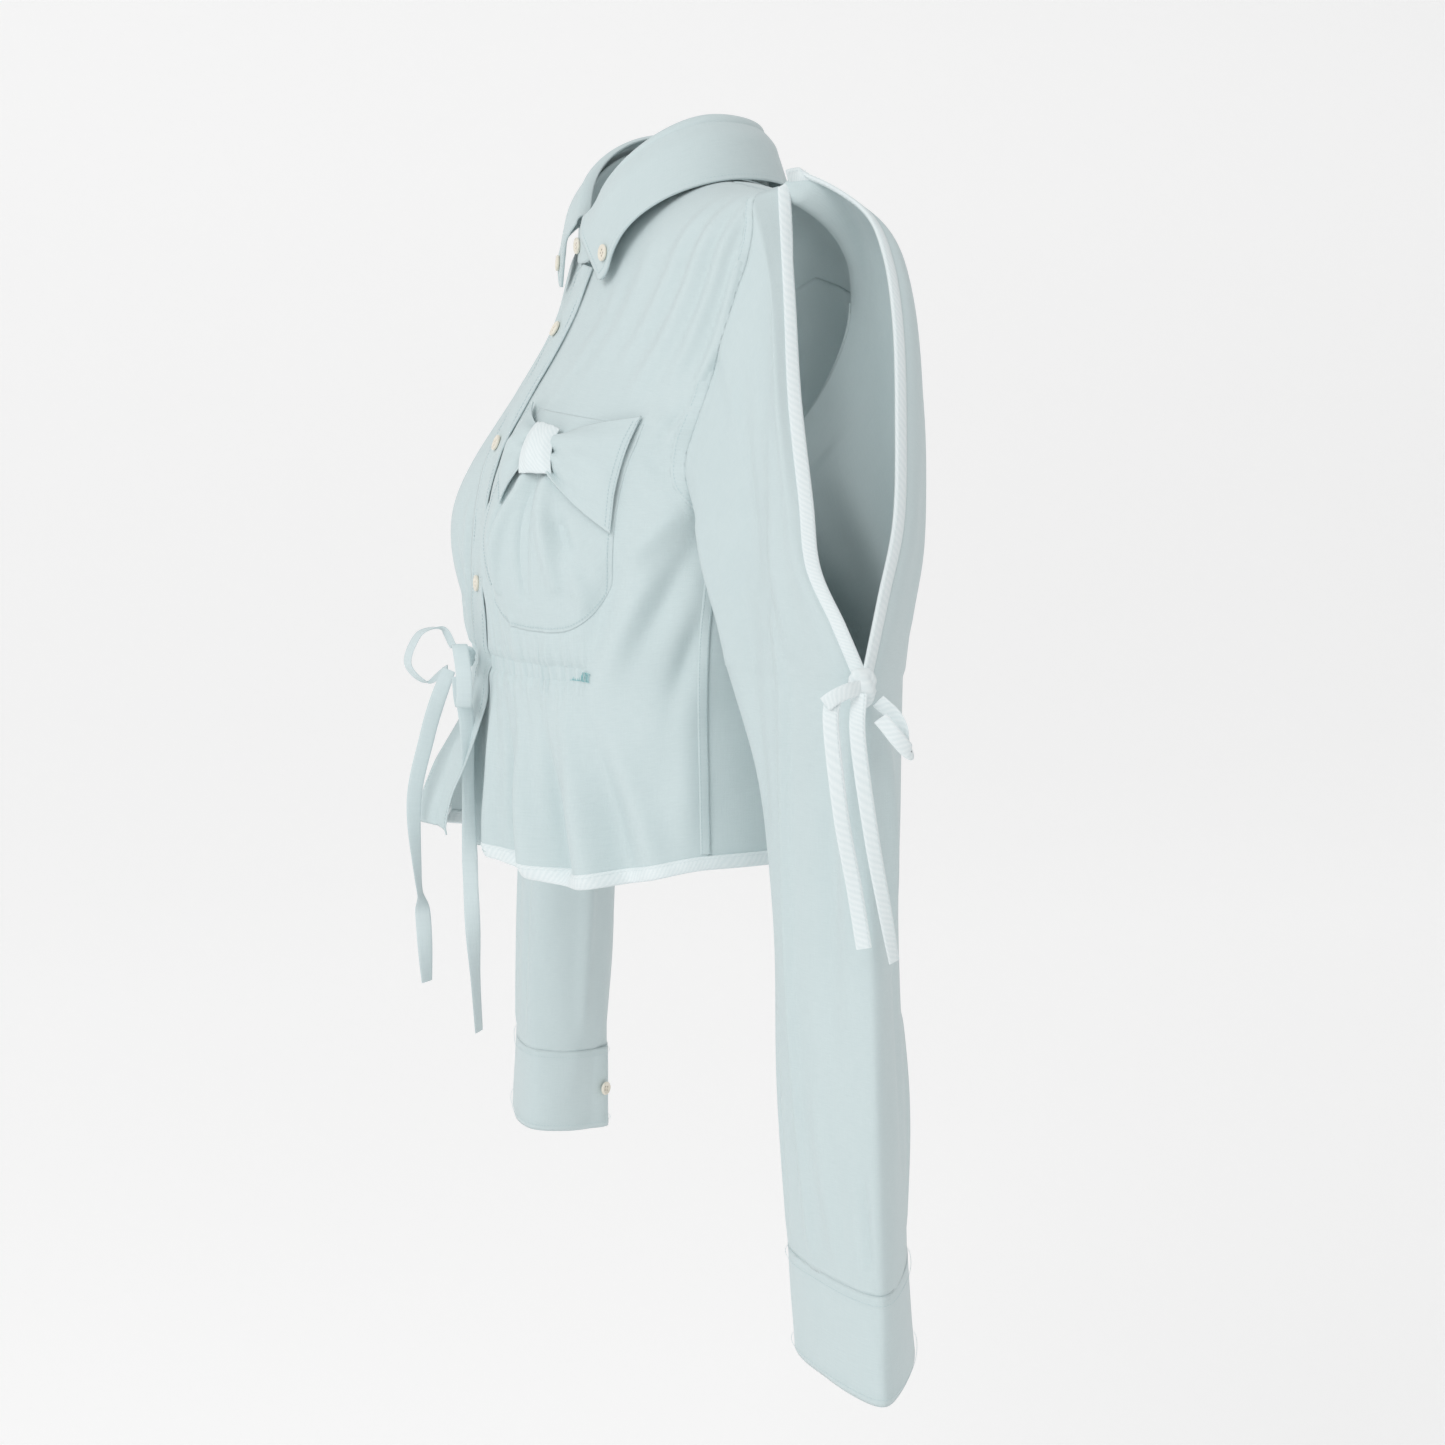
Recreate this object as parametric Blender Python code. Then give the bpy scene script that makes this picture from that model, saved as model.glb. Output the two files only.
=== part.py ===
import functools
import math

import bmesh
import bpy
from mathutils import Vector

# A cropped shirt with a tied waist and open shoulders, as it hangs on a body.
# Metres, +Z up. The wearer faces -Y and the wearer's left is +X. The origin is
# on the neck's axis at shoulder height.

# Body of the shirt. A level is a height at the shoulder point: near the top,
# levels tilt up towards the neck by SHOULDER_SLOPE.
RIDGE_LEVEL = -0.004
YOKE_LEVEL = -0.075
UNDERARM_LEVEL = -0.19
HEM_LEVEL = -0.405
WAIST_LEVEL = -0.287
SHOULDER_SLOPE = 0.165
SHOULDER_X = 0.150
SHOULDER_ROUND = 0.045
SIDE_SEAM_ANGLE = 86.0
BACK_POWER = 0.8

# Each list pairs a level with a size at that level.
HALF_WIDTH = [(-0.43, 0.165), (-0.34, 0.156), (-0.285, 0.152), (-0.20, 0.163), (-0.10, 0.165), (0.0, 0.165)]
CENTRE_Y = [(-0.43, -0.020), (-0.285, -0.018), (-0.20, -0.014), (-0.15, -0.006), (-0.12, 0.0),
            (-0.06, 0.008), (0.0, 0.012)]
FRONT_DEPTH = [(-0.43, 0.106), (-0.285, 0.108), (-0.20, 0.108), (-0.165, 0.105), (-0.14, 0.094),
               (-0.106, 0.076), (-0.08, 0.067), (-0.045, 0.061), (0.0, 0.060)]
BACK_DEPTH = [(-0.43, 0.118), (-0.34, 0.108), (-0.285, 0.105), (-0.20, 0.108), (-0.10, 0.100),
              (-0.05, 0.085), (0.0, 0.075)]
# Angles round the body, 0 at the front edge and 180 at the back.
FRONT_ARMHOLE = [(-0.19, 84.0), (-0.17, 74.0), (-0.14, 71.5), (-0.09, 72.5), (-0.06, 75.0),
                 (-0.04, 78.0), (-0.02, 77.0), (0.0, 66.0)]
BACK_ARMHOLE = [(-0.19, 84.0), (-0.17, 93.0), (-0.14, 102.0), (-0.10, 117.0), (-0.065, 131.0),
                (-0.03, 128.0), (0.0, 116.0)]
HEM_RISE = [(0.0, -0.004), (40.0, -0.011), (60.0, -0.004), (86.0, 0.006), (180.0, 0.003)]
BUST_REACH = 0.020
BUST_X = 0.066
BUST_Z = -0.205

# Neck ring and collar
NECK_CENTRE_Y = 0.002
NECK_RADIUS_X = 0.067
NECK_RADIUS_Y = 0.058
STAND_HEIGHT = [(0.0, 0.022), (12.0, 0.023), (44.0, 0.027), (75.0, 0.029), (110.0, 0.030),
                (150.0, 0.030), (180.0, 0.027)]
STAND_LEAN = [(0.0, 0.0), (60.0, -0.09), (180.0, -0.14)]
STAND_LAP = 0.014
FALL_DROP = [(0.0, 0.060), (12.0, 0.062), (44.0, 0.051), (75.0, 0.039), (110.0, 0.0335),
             (150.0, 0.032), (180.0, 0.031)]
FALL_OUT = [(0.0, 0.45), (80.0, 0.60), (130.0, 0.45), (180.0, 0.15)]

# Cloth and trims
CLOTH = 0.0009
GAP = 0.0004
PLACKET_HALF = 0.0175
BINDING_WIDTH = 0.0085
BUTTON_RADIUS = 0.0052
BUTTON_THICK = 0.0022
WAIST_RIBBON = 0.010
SLEEVE_RIBBON = 0.0085
CORD_RADIUS = 0.0028

# Pocket with a pinched bow across its top, in angles and levels
POCKET_ANGLES = (16.0, 55.5)
POCKET_LEVELS = (-0.262, -0.140)
BOW_KNOT = (30.0, -0.161)
BOW_HALF_HEIGHT = 0.032
BOW_KNOT_HALF = 0.013

# Sleeve sections: height, then five corners going round from the outer fold
# past the front crease, the body side and the rear, each as X and Y.
SLEEVE_TOP = -0.277
CUFF_TOP = -0.621
CUFF_BOTTOM = -0.683
SLEEVE_SECTIONS = [
    (-0.277, (0.305, 0.014), (0.245, -0.010), (0.184, -0.022), (0.176, 0.030), (0.235, 0.064)),
    (-0.345, (0.300, 0.020), (0.238, -0.007), (0.197, -0.006), (0.184, 0.034), (0.232, 0.065)),
    (-0.42, (0.298, 0.024), (0.238, -0.004), (0.200, 0.002), (0.188, 0.036), (0.230, 0.064)),
    (-0.52, (0.298, 0.028), (0.240, 0.001), (0.200, 0.003), (0.190, 0.040), (0.228, 0.070)),
    (-0.62, (0.299, 0.032), (0.245, 0.009), (0.200, 0.011), (0.193, 0.046), (0.224, 0.075)),
    (-0.69, (0.300, 0.034), (0.246, 0.014), (0.200, 0.016), (0.195, 0.050), (0.221, 0.083)),
]
CORNER_PLACES = (0.0, 0.22, 0.40, 0.57, 0.76)
# The two bound edges of the open shoulder, from the shoulder point to the tie.
SLIT_FRONT = [(0.153, 0.019, -0.001), (0.185, 0.0115, -0.067), (0.220, 0.002, -0.124),
              (0.252, -0.003, -0.178), (0.272, -0.006, -0.213), (0.290, 0.002, -0.243),
              (0.304, 0.010, -0.271)]
SLIT_REAR = [(0.154, 0.024, 0.002), (0.160, 0.042, 0.001), (0.175, 0.067, -0.018),
             (0.187, 0.0755, -0.044), (0.205, 0.075, -0.084), (0.230, 0.067, -0.135),
             (0.260, 0.054, -0.189), (0.285, 0.035, -0.230), (0.304, 0.018, -0.271)]
SLIT_REACH = 0.2
# The right arm hangs a little further forward and out than the left one.
RIGHT_SWING = 5.5
RIGHT_SPREAD = 0.035
SWING_AXIS = (0.030, -0.050)
SLEEVE_ROWS = 14

# Ties, as routes of hand-placed points
WAIST_KNOT = (0.0, -0.1385, -0.286)
WAIST_TAIL_A = [(-0.004, -0.1480, -0.294), (-0.005, -0.1560, -0.315), (-0.005, -0.1627, -0.337),
                (-0.005, -0.1718, -0.377), (-0.005, -0.1702, -0.426), (-0.005, -0.1674, -0.453),
                (-0.005, -0.1656, -0.497)]
WAIST_TAIL_B = [(0.006, -0.1440, -0.300), (0.010, -0.1400, -0.325), (0.010, -0.1395, -0.377),
                (0.010, -0.1390, -0.427), (0.010, -0.1370, -0.487), (0.010, -0.1350, -0.529)]
WAIST_LOOP_A = [(-0.004, -0.1450, -0.279), (-0.008, -0.1515, -0.268), (-0.014, -0.1650, -0.272),
                (-0.020, -0.1715, -0.291), (-0.018, -0.1600, -0.303), (-0.012, -0.1475, -0.294)]
WAIST_LOOP_B = [(0.008, -0.1440, -0.279), (0.020, -0.1455, -0.277), (0.029, -0.1450, -0.296),
                (0.024, -0.1445, -0.314), (0.014, -0.1440, -0.309), (0.010, -0.1440, -0.297)]
SLEEVE_KNOT = (0.3135, 0.0100, -0.274)
SLEEVE_TAIL_A = [(0.316, -0.0020, -0.281), (0.317, -0.0090, -0.291), (0.318, -0.0032, -0.341),
                 (0.318, 0.0045, -0.380), (0.318, 0.0105, -0.414)]
SLEEVE_TAIL_B = [(0.3205, 0.0060, -0.287), (0.3210, 0.0060, -0.307), (0.322, 0.0125, -0.352),
                 (0.322, 0.0200, -0.390), (0.322, 0.0264, -0.4215)]
SLEEVE_LOOP = [(0.316, 0.0180, -0.281), (0.319, 0.0270, -0.290), (0.321, 0.0330, -0.302),
               (0.325, 0.0330, -0.308), (0.326, 0.0250, -0.300), (0.3245, 0.0160, -0.289)]

COLOURS = {
    "cloth": (0.60, 0.70, 0.71, 0.85),
    "binding": (0.78, 0.87, 0.87, 0.8),
    "lining": (0.66, 0.74, 0.75, 0.9),
    "thread": (0.30, 0.55, 0.56, 0.7),
    "button": (0.75, 0.69, 0.58, 0.35),
}


def clearScene():
    for old in list(bpy.data.objects):
        bpy.data.objects.remove(old, do_unlink=True)


def material(kind):
    found = bpy.data.materials.get(kind)
    if found:
        return found
    red, green, blue, rough = COLOURS[kind]
    made = bpy.data.materials.new(kind)
    made.use_nodes = True
    shader = made.node_tree.nodes["Principled BSDF"]
    shader.inputs["Base Color"].default_value = (red, green, blue, 1.0)
    shader.inputs["Roughness"].default_value = rough
    shader.inputs["Metallic"].default_value = 0.0
    return made


def along(knots, place):
    """Smooth value at a place, between knots of (place, value)."""
    if place <= knots[0][0]:
        return knots[0][1]
    if place >= knots[-1][0]:
        return knots[-1][1]
    last = len(knots) - 1
    index = max(i for i in range(last) if knots[i][0] <= place)
    x0, y0 = knots[index]
    x1, y1 = knots[index + 1]
    before = knots[max(index - 1, 0)]
    after = knots[min(index + 2, last)]
    slope0 = (y1 - before[1]) / (x1 - before[0])
    slope1 = (after[1] - y0) / (after[0] - x0)
    step = x1 - x0
    t = (place - x0) / step
    return ((2 * t ** 3 - 3 * t ** 2 + 1) * y0 + (t ** 3 - 2 * t ** 2 + t) * step * slope0
            + (3 * t ** 2 - 2 * t ** 3) * y1 + (t ** 3 - t ** 2) * step * slope1)


def smooth(value):
    held = min(max(value, 0.0), 1.0)
    return held * held * (3.0 - 2.0 * held)


def routePoint(route, t):
    """Point on a smooth curve through a route's points, t from 0 to 1."""
    place = t * (len(route) - 1)
    return Vector([along([(i, p[axis]) for i, p in enumerate(route)], place) for axis in range(3)])


# --- the body's surface ---

def roundTop(level):
    drop = min(max((RIDGE_LEVEL - level) / SHOULDER_ROUND, 0.0), 1.0)
    return math.sqrt(1.0 - (1.0 - drop) ** 2)


def heightOf(level, x):
    tilt = SHOULDER_SLOPE * smooth((level + 0.2) / 0.1)
    return level - tilt * (abs(x) - SHOULDER_X)


def bustReach(x, z):
    return BUST_REACH * math.exp(-((abs(x) - BUST_X) / 0.040) ** 2 - ((z - BUST_Z) / 0.060) ** 2)


def skin(angle, level):
    """Point of the body's surface at an angle from the front, in degrees."""
    turn = math.radians(abs(angle))
    side = math.copysign(1.0, angle)
    width = along(HALF_WIDTH, level)
    centre = along(CENTRE_Y, level)
    if turn <= math.pi / 2:
        x = width * math.sin(turn)
        z = heightOf(level, x)
        y = centre - (along(FRONT_DEPTH, level) * roundTop(level) + bustReach(x, z)) * math.cos(turn)
    else:
        x = width * math.sin(turn) ** BACK_POWER
        z = heightOf(level, x)
        y = centre + along(BACK_DEPTH, level) * roundTop(level) * abs(math.cos(turn)) ** BACK_POWER
    return Vector((side * x, y, z))


def lifted(surface, u, v, out):
    """Surface point moved out along the surface's normal."""
    step = 0.004
    low_u = max(u - step, 0.0)
    low_v = max(v - step, 0.0)
    du = surface(min(low_u + 2 * step, 1.0), v) - surface(low_u, v)
    dv = surface(u, min(low_v + 2 * step, 1.0)) - surface(u, low_v)
    return surface(u, v) + du.cross(dv).normalized() * out


def neckRing(turn):
    """The neck ring's X and Y, turn in degrees from the front."""
    angle = math.radians(turn)
    return NECK_RADIUS_X * math.sin(angle), NECK_CENTRE_Y - NECK_RADIUS_Y * math.cos(angle)


def levelAt(x, y, back):
    """Level at which the front or back surface passes through X and Y."""
    low = -0.14
    high = RIDGE_LEVEL
    for _ in range(40):
        level = (low + high) / 2
        width = along(HALF_WIDTH, level)
        centre = along(CENTRE_Y, level)
        if back:
            share = (1 - (abs(x) / width) ** (2 / BACK_POWER)) ** (BACK_POWER / 2)
            inside = y > centre + along(BACK_DEPTH, level) * roundTop(level) * share
        else:
            share = math.sqrt(1 - (x / width) ** 2)
            inside = y < centre - along(FRONT_DEPTH, level) * roundTop(level) * share
        if inside:
            high = level
        else:
            low = level
    return low


@functools.lru_cache(maxsize=None)
def neckLevel(turn):
    x, y = neckRing(turn)
    return levelAt(x, y, y > along(CENTRE_Y, RIDGE_LEVEL))


def neckPoint(turn):
    """Point of the neckline, turn from -180 to 180 with 0 at the front."""
    x, y = neckRing(abs(turn))
    return Vector((math.copysign(x, turn), y, heightOf(neckLevel(abs(turn)), x)))


@functools.lru_cache(maxsize=None)
def frontNeckAngle(level):
    """Body angle at which a front panel's row starts."""
    low = 0.0
    high = 98.0
    for _ in range(30):
        turn = (low + high) / 2
        if neckLevel(turn) < level:
            low = turn
        else:
            high = turn
    ring_x = max(neckRing(low)[0], PLACKET_HALF + GAP)
    return math.degrees(math.asin(ring_x / along(HALF_WIDTH, level)))


# --- solids from sheets ---

def finish(name, mesh_bm, kind, thickness=CLOTH):
    """Give a sheet its thickness, towards the side its faces look to."""
    mesh = bpy.data.meshes.new(name)
    mesh_bm.to_mesh(mesh)
    mesh_bm.free()
    mesh.shade_smooth()
    mesh.set_sharp_from_angle(angle=math.radians(50))
    made = bpy.data.objects.new(name, mesh)
    made.data.materials.append(material(kind))
    bpy.context.scene.collection.objects.link(made)
    if thickness:
        wall = made.modifiers.new("wall", "SOLIDIFY")
        wall.thickness = thickness
        wall.offset = 1.0
    return made


def sheet(name, columns, rows, surface, kind, out=0.0, thickness=CLOTH, flip=False):
    """A grid laid on surface(u, v), with u and v from 0 to 1."""
    grid = bmesh.new()
    bmesh.ops.create_grid(grid, x_segments=columns, y_segments=rows, size=0.5)
    for vert in grid.verts:
        u = min(max(vert.co.x + 0.5, 0.0), 1.0)
        v = min(max(vert.co.y + 0.5, 0.0), 1.0)
        vert.co = lifted(surface, u, v, -out if flip else out)
    bmesh.ops.remove_doubles(grid, verts=grid.verts, dist=0.00002)
    if flip:
        bmesh.ops.reverse_faces(grid, faces=grid.faces)
    return finish(name, grid, kind, thickness)


def ribbon(name, route, width, kind, across, steps=14, thickness=0.0011):
    """A flat tape of constant width along a route, its width lying along across."""
    half = Vector(across).normalized() * width / 2
    grid = bmesh.new()
    bmesh.ops.create_grid(grid, x_segments=steps, y_segments=1, size=0.5)
    for vert in grid.verts:
        vert.co = routePoint(route, min(max(vert.co.x + 0.5, 0.0), 1.0)) + half * (2 * vert.co.y)
    return finish(name, grid, kind, thickness)


def cordTube(name, route, kind, points=15):
    """A hanging tail as a round tube along a smooth route."""
    curve = bpy.data.curves.new(name, "CURVE")
    curve.dimensions = "3D"
    curve.bevel_depth = CORD_RADIUS
    curve.bevel_resolution = 2
    curve.use_fill_caps = True
    spline = curve.splines.new("POLY")
    spline.points.add(points - 1)
    for index, point in enumerate(spline.points):
        place = routePoint(route, index / (points - 1))
        point.co = (place.x, place.y, place.z, 1.0)
    made = bpy.data.objects.new(name, curve)
    curve.materials.append(material(kind))
    bpy.context.scene.collection.objects.link(made)
    return made


def softBlock(name, place, size, kind, bevel):
    """A small block with rounded edges, for knots."""
    block = bmesh.new()
    bmesh.ops.create_cube(block, size=1.0)
    for vert in block.verts:
        vert.co = Vector(place) + Vector([vert.co[i] * size[i] for i in range(3)])
    bmesh.ops.bevel(block, geom=block.edges[:] + block.verts[:], offset=bevel, segments=2,
                    profile=0.5, affect="EDGES", material=-1)
    return finish(name, block, kind, 0.0)


def button(name, place, normal):
    """A flat round button with softened rims, its back face at the place."""
    disc = bmesh.new()
    bmesh.ops.create_cone(disc, cap_ends=True, segments=14, radius1=BUTTON_RADIUS,
                          radius2=BUTTON_RADIUS, depth=BUTTON_THICK)
    rims = [edge for edge in disc.edges if abs(edge.verts[0].co.z - edge.verts[1].co.z) < 1e-6]
    bmesh.ops.bevel(disc, geom=rims, offset=0.0006, segments=1, profile=0.5,
                    affect="EDGES", material=-1)
    made = finish(name, disc, "button", 0.0)
    made.rotation_mode = "QUATERNION"
    made.rotation_quaternion = Vector((0, 0, 1)).rotation_difference(normal)
    made.location = place + normal * (BUTTON_THICK / 2 + GAP)
    return made


# --- panels ---

def rowLevel(v, low, high):
    """Levels that crowd towards the shoulder, where the surface turns over."""
    return low + (high - low) * (0.45 * v * (2 - v) + 0.55 * math.sin(v * math.pi / 2))


def frontSurface(side):
    def surface(u, v):
        row = rowLevel(v * 0.996, HEM_LEVEL, RIDGE_LEVEL)
        start = frontNeckAngle(row)
        end = along(FRONT_ARMHOLE, row) if row > UNDERARM_LEVEL else SIDE_SEAM_ANGLE
        if row <= UNDERARM_LEVEL:
            end -= 2.0 * smooth(1 - (UNDERARM_LEVEL - row) / 0.03)
        angle = start + (end - 0.3 - start) * u
        level = row + along(HEM_RISE, angle) * (1 - v) ** 3
        return skin(side * angle, level)
    return surface


def backSurface(u, v):
    row = HEM_LEVEL + (YOKE_LEVEL - 0.0006 - HEM_LEVEL) * v
    edge = along(BACK_ARMHOLE, row) if row > UNDERARM_LEVEL else SIDE_SEAM_ANGLE
    if row <= UNDERARM_LEVEL:
        edge -= 2.0 * smooth(1 - (UNDERARM_LEVEL - row) / 0.03)
    across = 2 * u - 1
    angle = 180.0 - abs(across) * (180.0 - edge - 0.3)
    level = row + along(HEM_RISE, angle) * (1 - v) ** 3
    return skin(math.copysign(angle, -across if across else 1.0), level)


def yokeSurface(u, v):
    across = 2 * u - 1
    top_x = abs(across) * SHOULDER_X
    top = RIDGE_LEVEL
    if top_x < NECK_RADIUS_X:
        ring_y = NECK_CENTRE_Y + NECK_RADIUS_Y * math.sqrt(1 - (top_x / NECK_RADIUS_X) ** 2)
        if ring_y > along(CENTRE_Y, RIDGE_LEVEL) + 0.001:
            top = levelAt(top_x, ring_y, True)
    level = rowLevel(v * 0.996, YOKE_LEVEL, top)
    width = along(HALF_WIDTH, level)
    arm_x = width * math.sin(math.radians(along(BACK_ARMHOLE, level) + 0.4)) ** BACK_POWER
    x = abs(across) * arm_x
    turn = math.asin((x / width) ** (1 / BACK_POWER))
    angle = 180.0 - math.degrees(turn)
    return skin(math.copysign(angle, -across if across else 1.0), level)


def frontStrip(x_from, x_to, top_level):
    """A straight strip down the front between two X values."""
    def surface(u, v):
        level = HEM_LEVEL + (top_level - HEM_LEVEL) * v
        x = x_from + (x_to - x_from) * u
        angle = math.degrees(math.asin(x / along(HALF_WIDTH, level)))
        return skin(angle if angle else 1e-6, level + HEM_RISE[0][1] * (1 - v) ** 3)
    return surface


def angleStrip(angle_from, angle_to, low, high, side):
    def surface(u, v):
        level = low + (high - low) * v
        angle = angle_from + (angle_to - angle_from) * u
        return skin(side * angle, level + along(HEM_RISE, angle) * max(0.0, 1 - (level - HEM_LEVEL) / 0.3) ** 3)
    return surface


def buildPanels():
    sheet("left_front_panel", 14, 15, frontSurface(1), "cloth")
    sheet("right_front_panel", 14, 15, frontSurface(-1), "cloth", flip=True)
    sheet("back_panel", 20, 10, backSurface, "cloth", flip=True)
    sheet("back_yoke", 20, 5, yokeSurface, "cloth", flip=True)
    neck = neckLevel(10) - 0.0024
    sheet("button_band", 3, 12, frontStrip(-PLACKET_HALF, PLACKET_HALF, neck), "cloth")
    sheet("front_placket", 3, 12, frontStrip(-PLACKET_HALF, PLACKET_HALF, neck), "cloth",
          out=0.0016, thickness=0.0012)


# --- armholes and side seams ---

def armLoop(c, out):
    """Point round an armhole: shoulder at 0 and 1, underarm at 0.5."""
    front = c < 0.5
    travel = 2 * c if front else 2 - 2 * c
    level = RIDGE_LEVEL + (UNDERARM_LEVEL - RIDGE_LEVEL) * (1 - math.cos(math.pi * travel)) / 2
    level = min(level, RIDGE_LEVEL - 0.0002)
    angle = along(FRONT_ARMHOLE if front else BACK_ARMHOLE, level)
    around = skin(angle + 0.4, level) - skin(angle - 0.4, level)
    rise = skin(angle, level + 0.0001) - skin(angle, level - 0.0004)
    return skin(angle, level) + around.cross(rise).normalized() * out


def buildSeams():
    for side, name in ((1, "left"), (-1, "right")):
        sheet("side_seam_" + name, 2, 8,
              angleStrip(SIDE_SEAM_ANGLE - 1.5, SIDE_SEAM_ANGLE + 1.5, HEM_LEVEL + 0.012,
                         UNDERARM_LEVEL - 0.012, side), "thread", out=0.0024, flip=side < 0)
        sheet("armhole_seam_" + name, 1, 16,
              armholeStrip(side), "thread", out=0.0020, flip=side < 0)
        sheet("hem_binding_front_" + name, 10, 1,
              angleStrip(7.2, SIDE_SEAM_ANGLE - 0.4, HEM_LEVEL, HEM_LEVEL + BINDING_WIDTH, side),
              "binding", out=0.0015, thickness=0.0014, flip=side < 0)
        sheet("waist_casing_" + name, 9, 1,
              angleStrip(7.2, 49.0, WAIST_LEVEL - 0.007, WAIST_LEVEL + 0.007, side),
              "cloth", out=-0.0046, flip=side < 0)
        sheet("waist_drawstring_" + name, 9, 1,
              angleStrip(7.2, 48.0, WAIST_LEVEL - 0.005, WAIST_LEVEL + 0.005, side),
              "cloth", out=-0.0028, thickness=0.0010, flip=side < 0)
        sheet("casing_bartack_" + name, 2, 1,
              angleStrip(47.0, 52.0, WAIST_LEVEL - 0.004, WAIST_LEVEL + 0.003, side),
              "thread", out=0.0026, thickness=0.0007, flip=side < 0)
    sheet("hem_binding_back", 20, 1, backHem, "binding", out=0.0015, thickness=0.0014, flip=True)


def backHem(u, v):
    across = 2 * u - 1
    angle = 180.0 - abs(across) * (180.0 - SIDE_SEAM_ANGLE - 0.4)
    level = HEM_LEVEL + BINDING_WIDTH * v
    return skin(math.copysign(angle, -across if across else 1.0), level + along(HEM_RISE, angle))


def armholeStrip(side):
    """The felled seam on the body side of the front of an armhole."""
    def surface(u, v):
        level = UNDERARM_LEVEL + 0.012 + (RIDGE_LEVEL - 0.006 - UNDERARM_LEVEL - 0.012) * v
        edge = along(FRONT_ARMHOLE, level) - 0.8
        return skin(side * (edge - 3.2 * (1 - u)), level)
    return surface


# --- collar ---

def standTop(turn):
    """Top of the stand and fold of the collar, above the neckline."""
    x, y = neckRing(abs(turn))
    rise = along(STAND_HEIGHT, abs(turn))
    share = along(STAND_LEAN, abs(turn))
    lean = Vector((share * math.copysign(x, turn), share * (y - NECK_CENTRE_Y), 0.0))
    return neckPoint(turn) + lean + Vector((0, 0, rise + 0.0015))


def standSurface(u, v):
    reach = 180.0 - 1.0
    lap = math.degrees(STAND_LAP / NECK_RADIUS_X)
    turn = -lap + (360.0 - 2.0 + 2 * lap) * (1 - u)
    wrapped = (turn + 180.0) % 360.0 - 180.0
    outer = smooth((u - 0.80) / 0.20) * 0.0022
    if abs(wrapped) > reach:
        wrapped = math.copysign(reach, wrapped)
    low = neckPoint(wrapped) + Vector((0, 0, 0.0015))
    here = low.lerp(standTop(wrapped), v)
    away = Vector((here.x, here.y - NECK_CENTRE_Y, 0)).normalized()
    return here + away * outer


def fallSurface(out):
    """The turned-down collar, from its fold to its outer edge and points."""
    def surface(u, v):
        turn = (2 * u - 1) * 174.0
        turn = 180.0 - abs(turn)
        side = 1.0 if u < 0.5 else -1.0
        fold = standTop(side * turn) + Vector((0, 0, 0.003))
        away = Vector((fold.x, fold.y - NECK_CENTRE_Y, 0)).normalized()
        drop = along(FALL_DROP, turn)
        forward = smooth(1 - turn / 90.0)
        spread = Vector((side * 0.69, 0.10, -0.67)) * forward
        hang = (away * along(FALL_OUT, turn) + Vector((0, 0, -0.93))) * (1 - forward)
        lift = away * (0.0035 + 0.0055 * math.sin(min(v * 3.0, 1.0) * math.pi / 2) + out)
        return fold + lift + (hang + spread).normalized() * drop * v
    return surface


def buildCollar():
    sheet("collar_stand", 26, 2, standSurface, "cloth", thickness=0.0012, flip=True)
    sheet("collar_fall_under", 22, 4, fallSurface(0.0), "cloth", thickness=0.0006, flip=True)
    sheet("collar_interlining", 22, 4, fallSurface(0.0011), "lining", thickness=0.0004, flip=True)
    sheet("collar_fall", 22, 4, fallSurface(0.0020), "cloth", thickness=0.0008, flip=True)


# --- sleeves ---

def sectionPoint(c, height):
    """Point of a sleeve's section, going once round as c goes from 0 to 1."""
    corners = []
    for index in range(5):
        x = along([(-row[0], row[index + 1][0]) for row in SLEEVE_SECTIONS], -height)
        y = along([(-row[0], row[index + 1][1]) for row in SLEEVE_SECTIONS], -height)
        corners.append((x, y))
    places = [p - 1 for p in CORNER_PLACES] + list(CORNER_PLACES) + [p + 1 for p in CORNER_PLACES]
    ring = corners * 3
    x = along(list(zip(places, [p[0] for p in ring])), c)
    y = along(list(zip(places, [p[1] for p in ring])), c)
    return Vector((x, y, height))


def upperSleeve(c, t):
    """The upper sleeve's sweep from the armhole down to the tie."""
    start = armLoop(c, 0.0036)
    end = sectionPoint(c, SLEEVE_TOP)
    span = (end - start).length
    pull = Vector((0.55, 0.0, -0.83)) * span * 0.9
    drop = Vector((0.0, 0.0, -1.0)) * span * 0.8
    return ((2 * t ** 3 - 3 * t ** 2 + 1) * start + (t ** 3 - 2 * t ** 2 + t) * pull
            + (3 * t ** 2 - 2 * t ** 3) * end + (t ** 3 - t ** 2) * drop)


def sleevePoint(c, s):
    """Point of the left sleeve: c round it, s from armhole to cuff."""
    if s >= 0.5:
        return sectionPoint(c, SLEEVE_TOP + (CUFF_TOP + 0.001 - SLEEVE_TOP) * (s - 0.5) * 2)
    t = s * 2
    here = upperSleeve(c, t)
    for edge, end_c, route in ((0.0, c, SLIT_FRONT), (1.0, 1 - c, SLIT_REAR)):
        if end_c < SLIT_REACH:
            here += (routePoint(route, t) - upperSleeve(edge, t)) * smooth(1 - end_c / SLIT_REACH)
    return here


def sided(point, side):
    """A left sleeve's point as it lies on its own side."""
    x, y, z = point
    if side > 0:
        return Vector((x, y, z))
    share = smooth((2 * (x - 0.163) - (z - UNDERARM_LEVEL)) / 0.2)
    turn = math.radians(RIGHT_SWING) * share
    ahead = y - SWING_AXIS[0]
    up = z - SWING_AXIS[1]
    spread = RIGHT_SPREAD * share * max(UNDERARM_LEVEL - z, 0.0) / 0.5
    return Vector((-x - spread, SWING_AXIS[0] + ahead * math.cos(turn) + up * math.sin(turn),
                   SWING_AXIS[1] + up * math.cos(turn) - ahead * math.sin(turn)))


def sleeveSurface(side):
    def surface(u, v):
        return sided(sleevePoint(u, 1 - v), side)
    return surface


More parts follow.
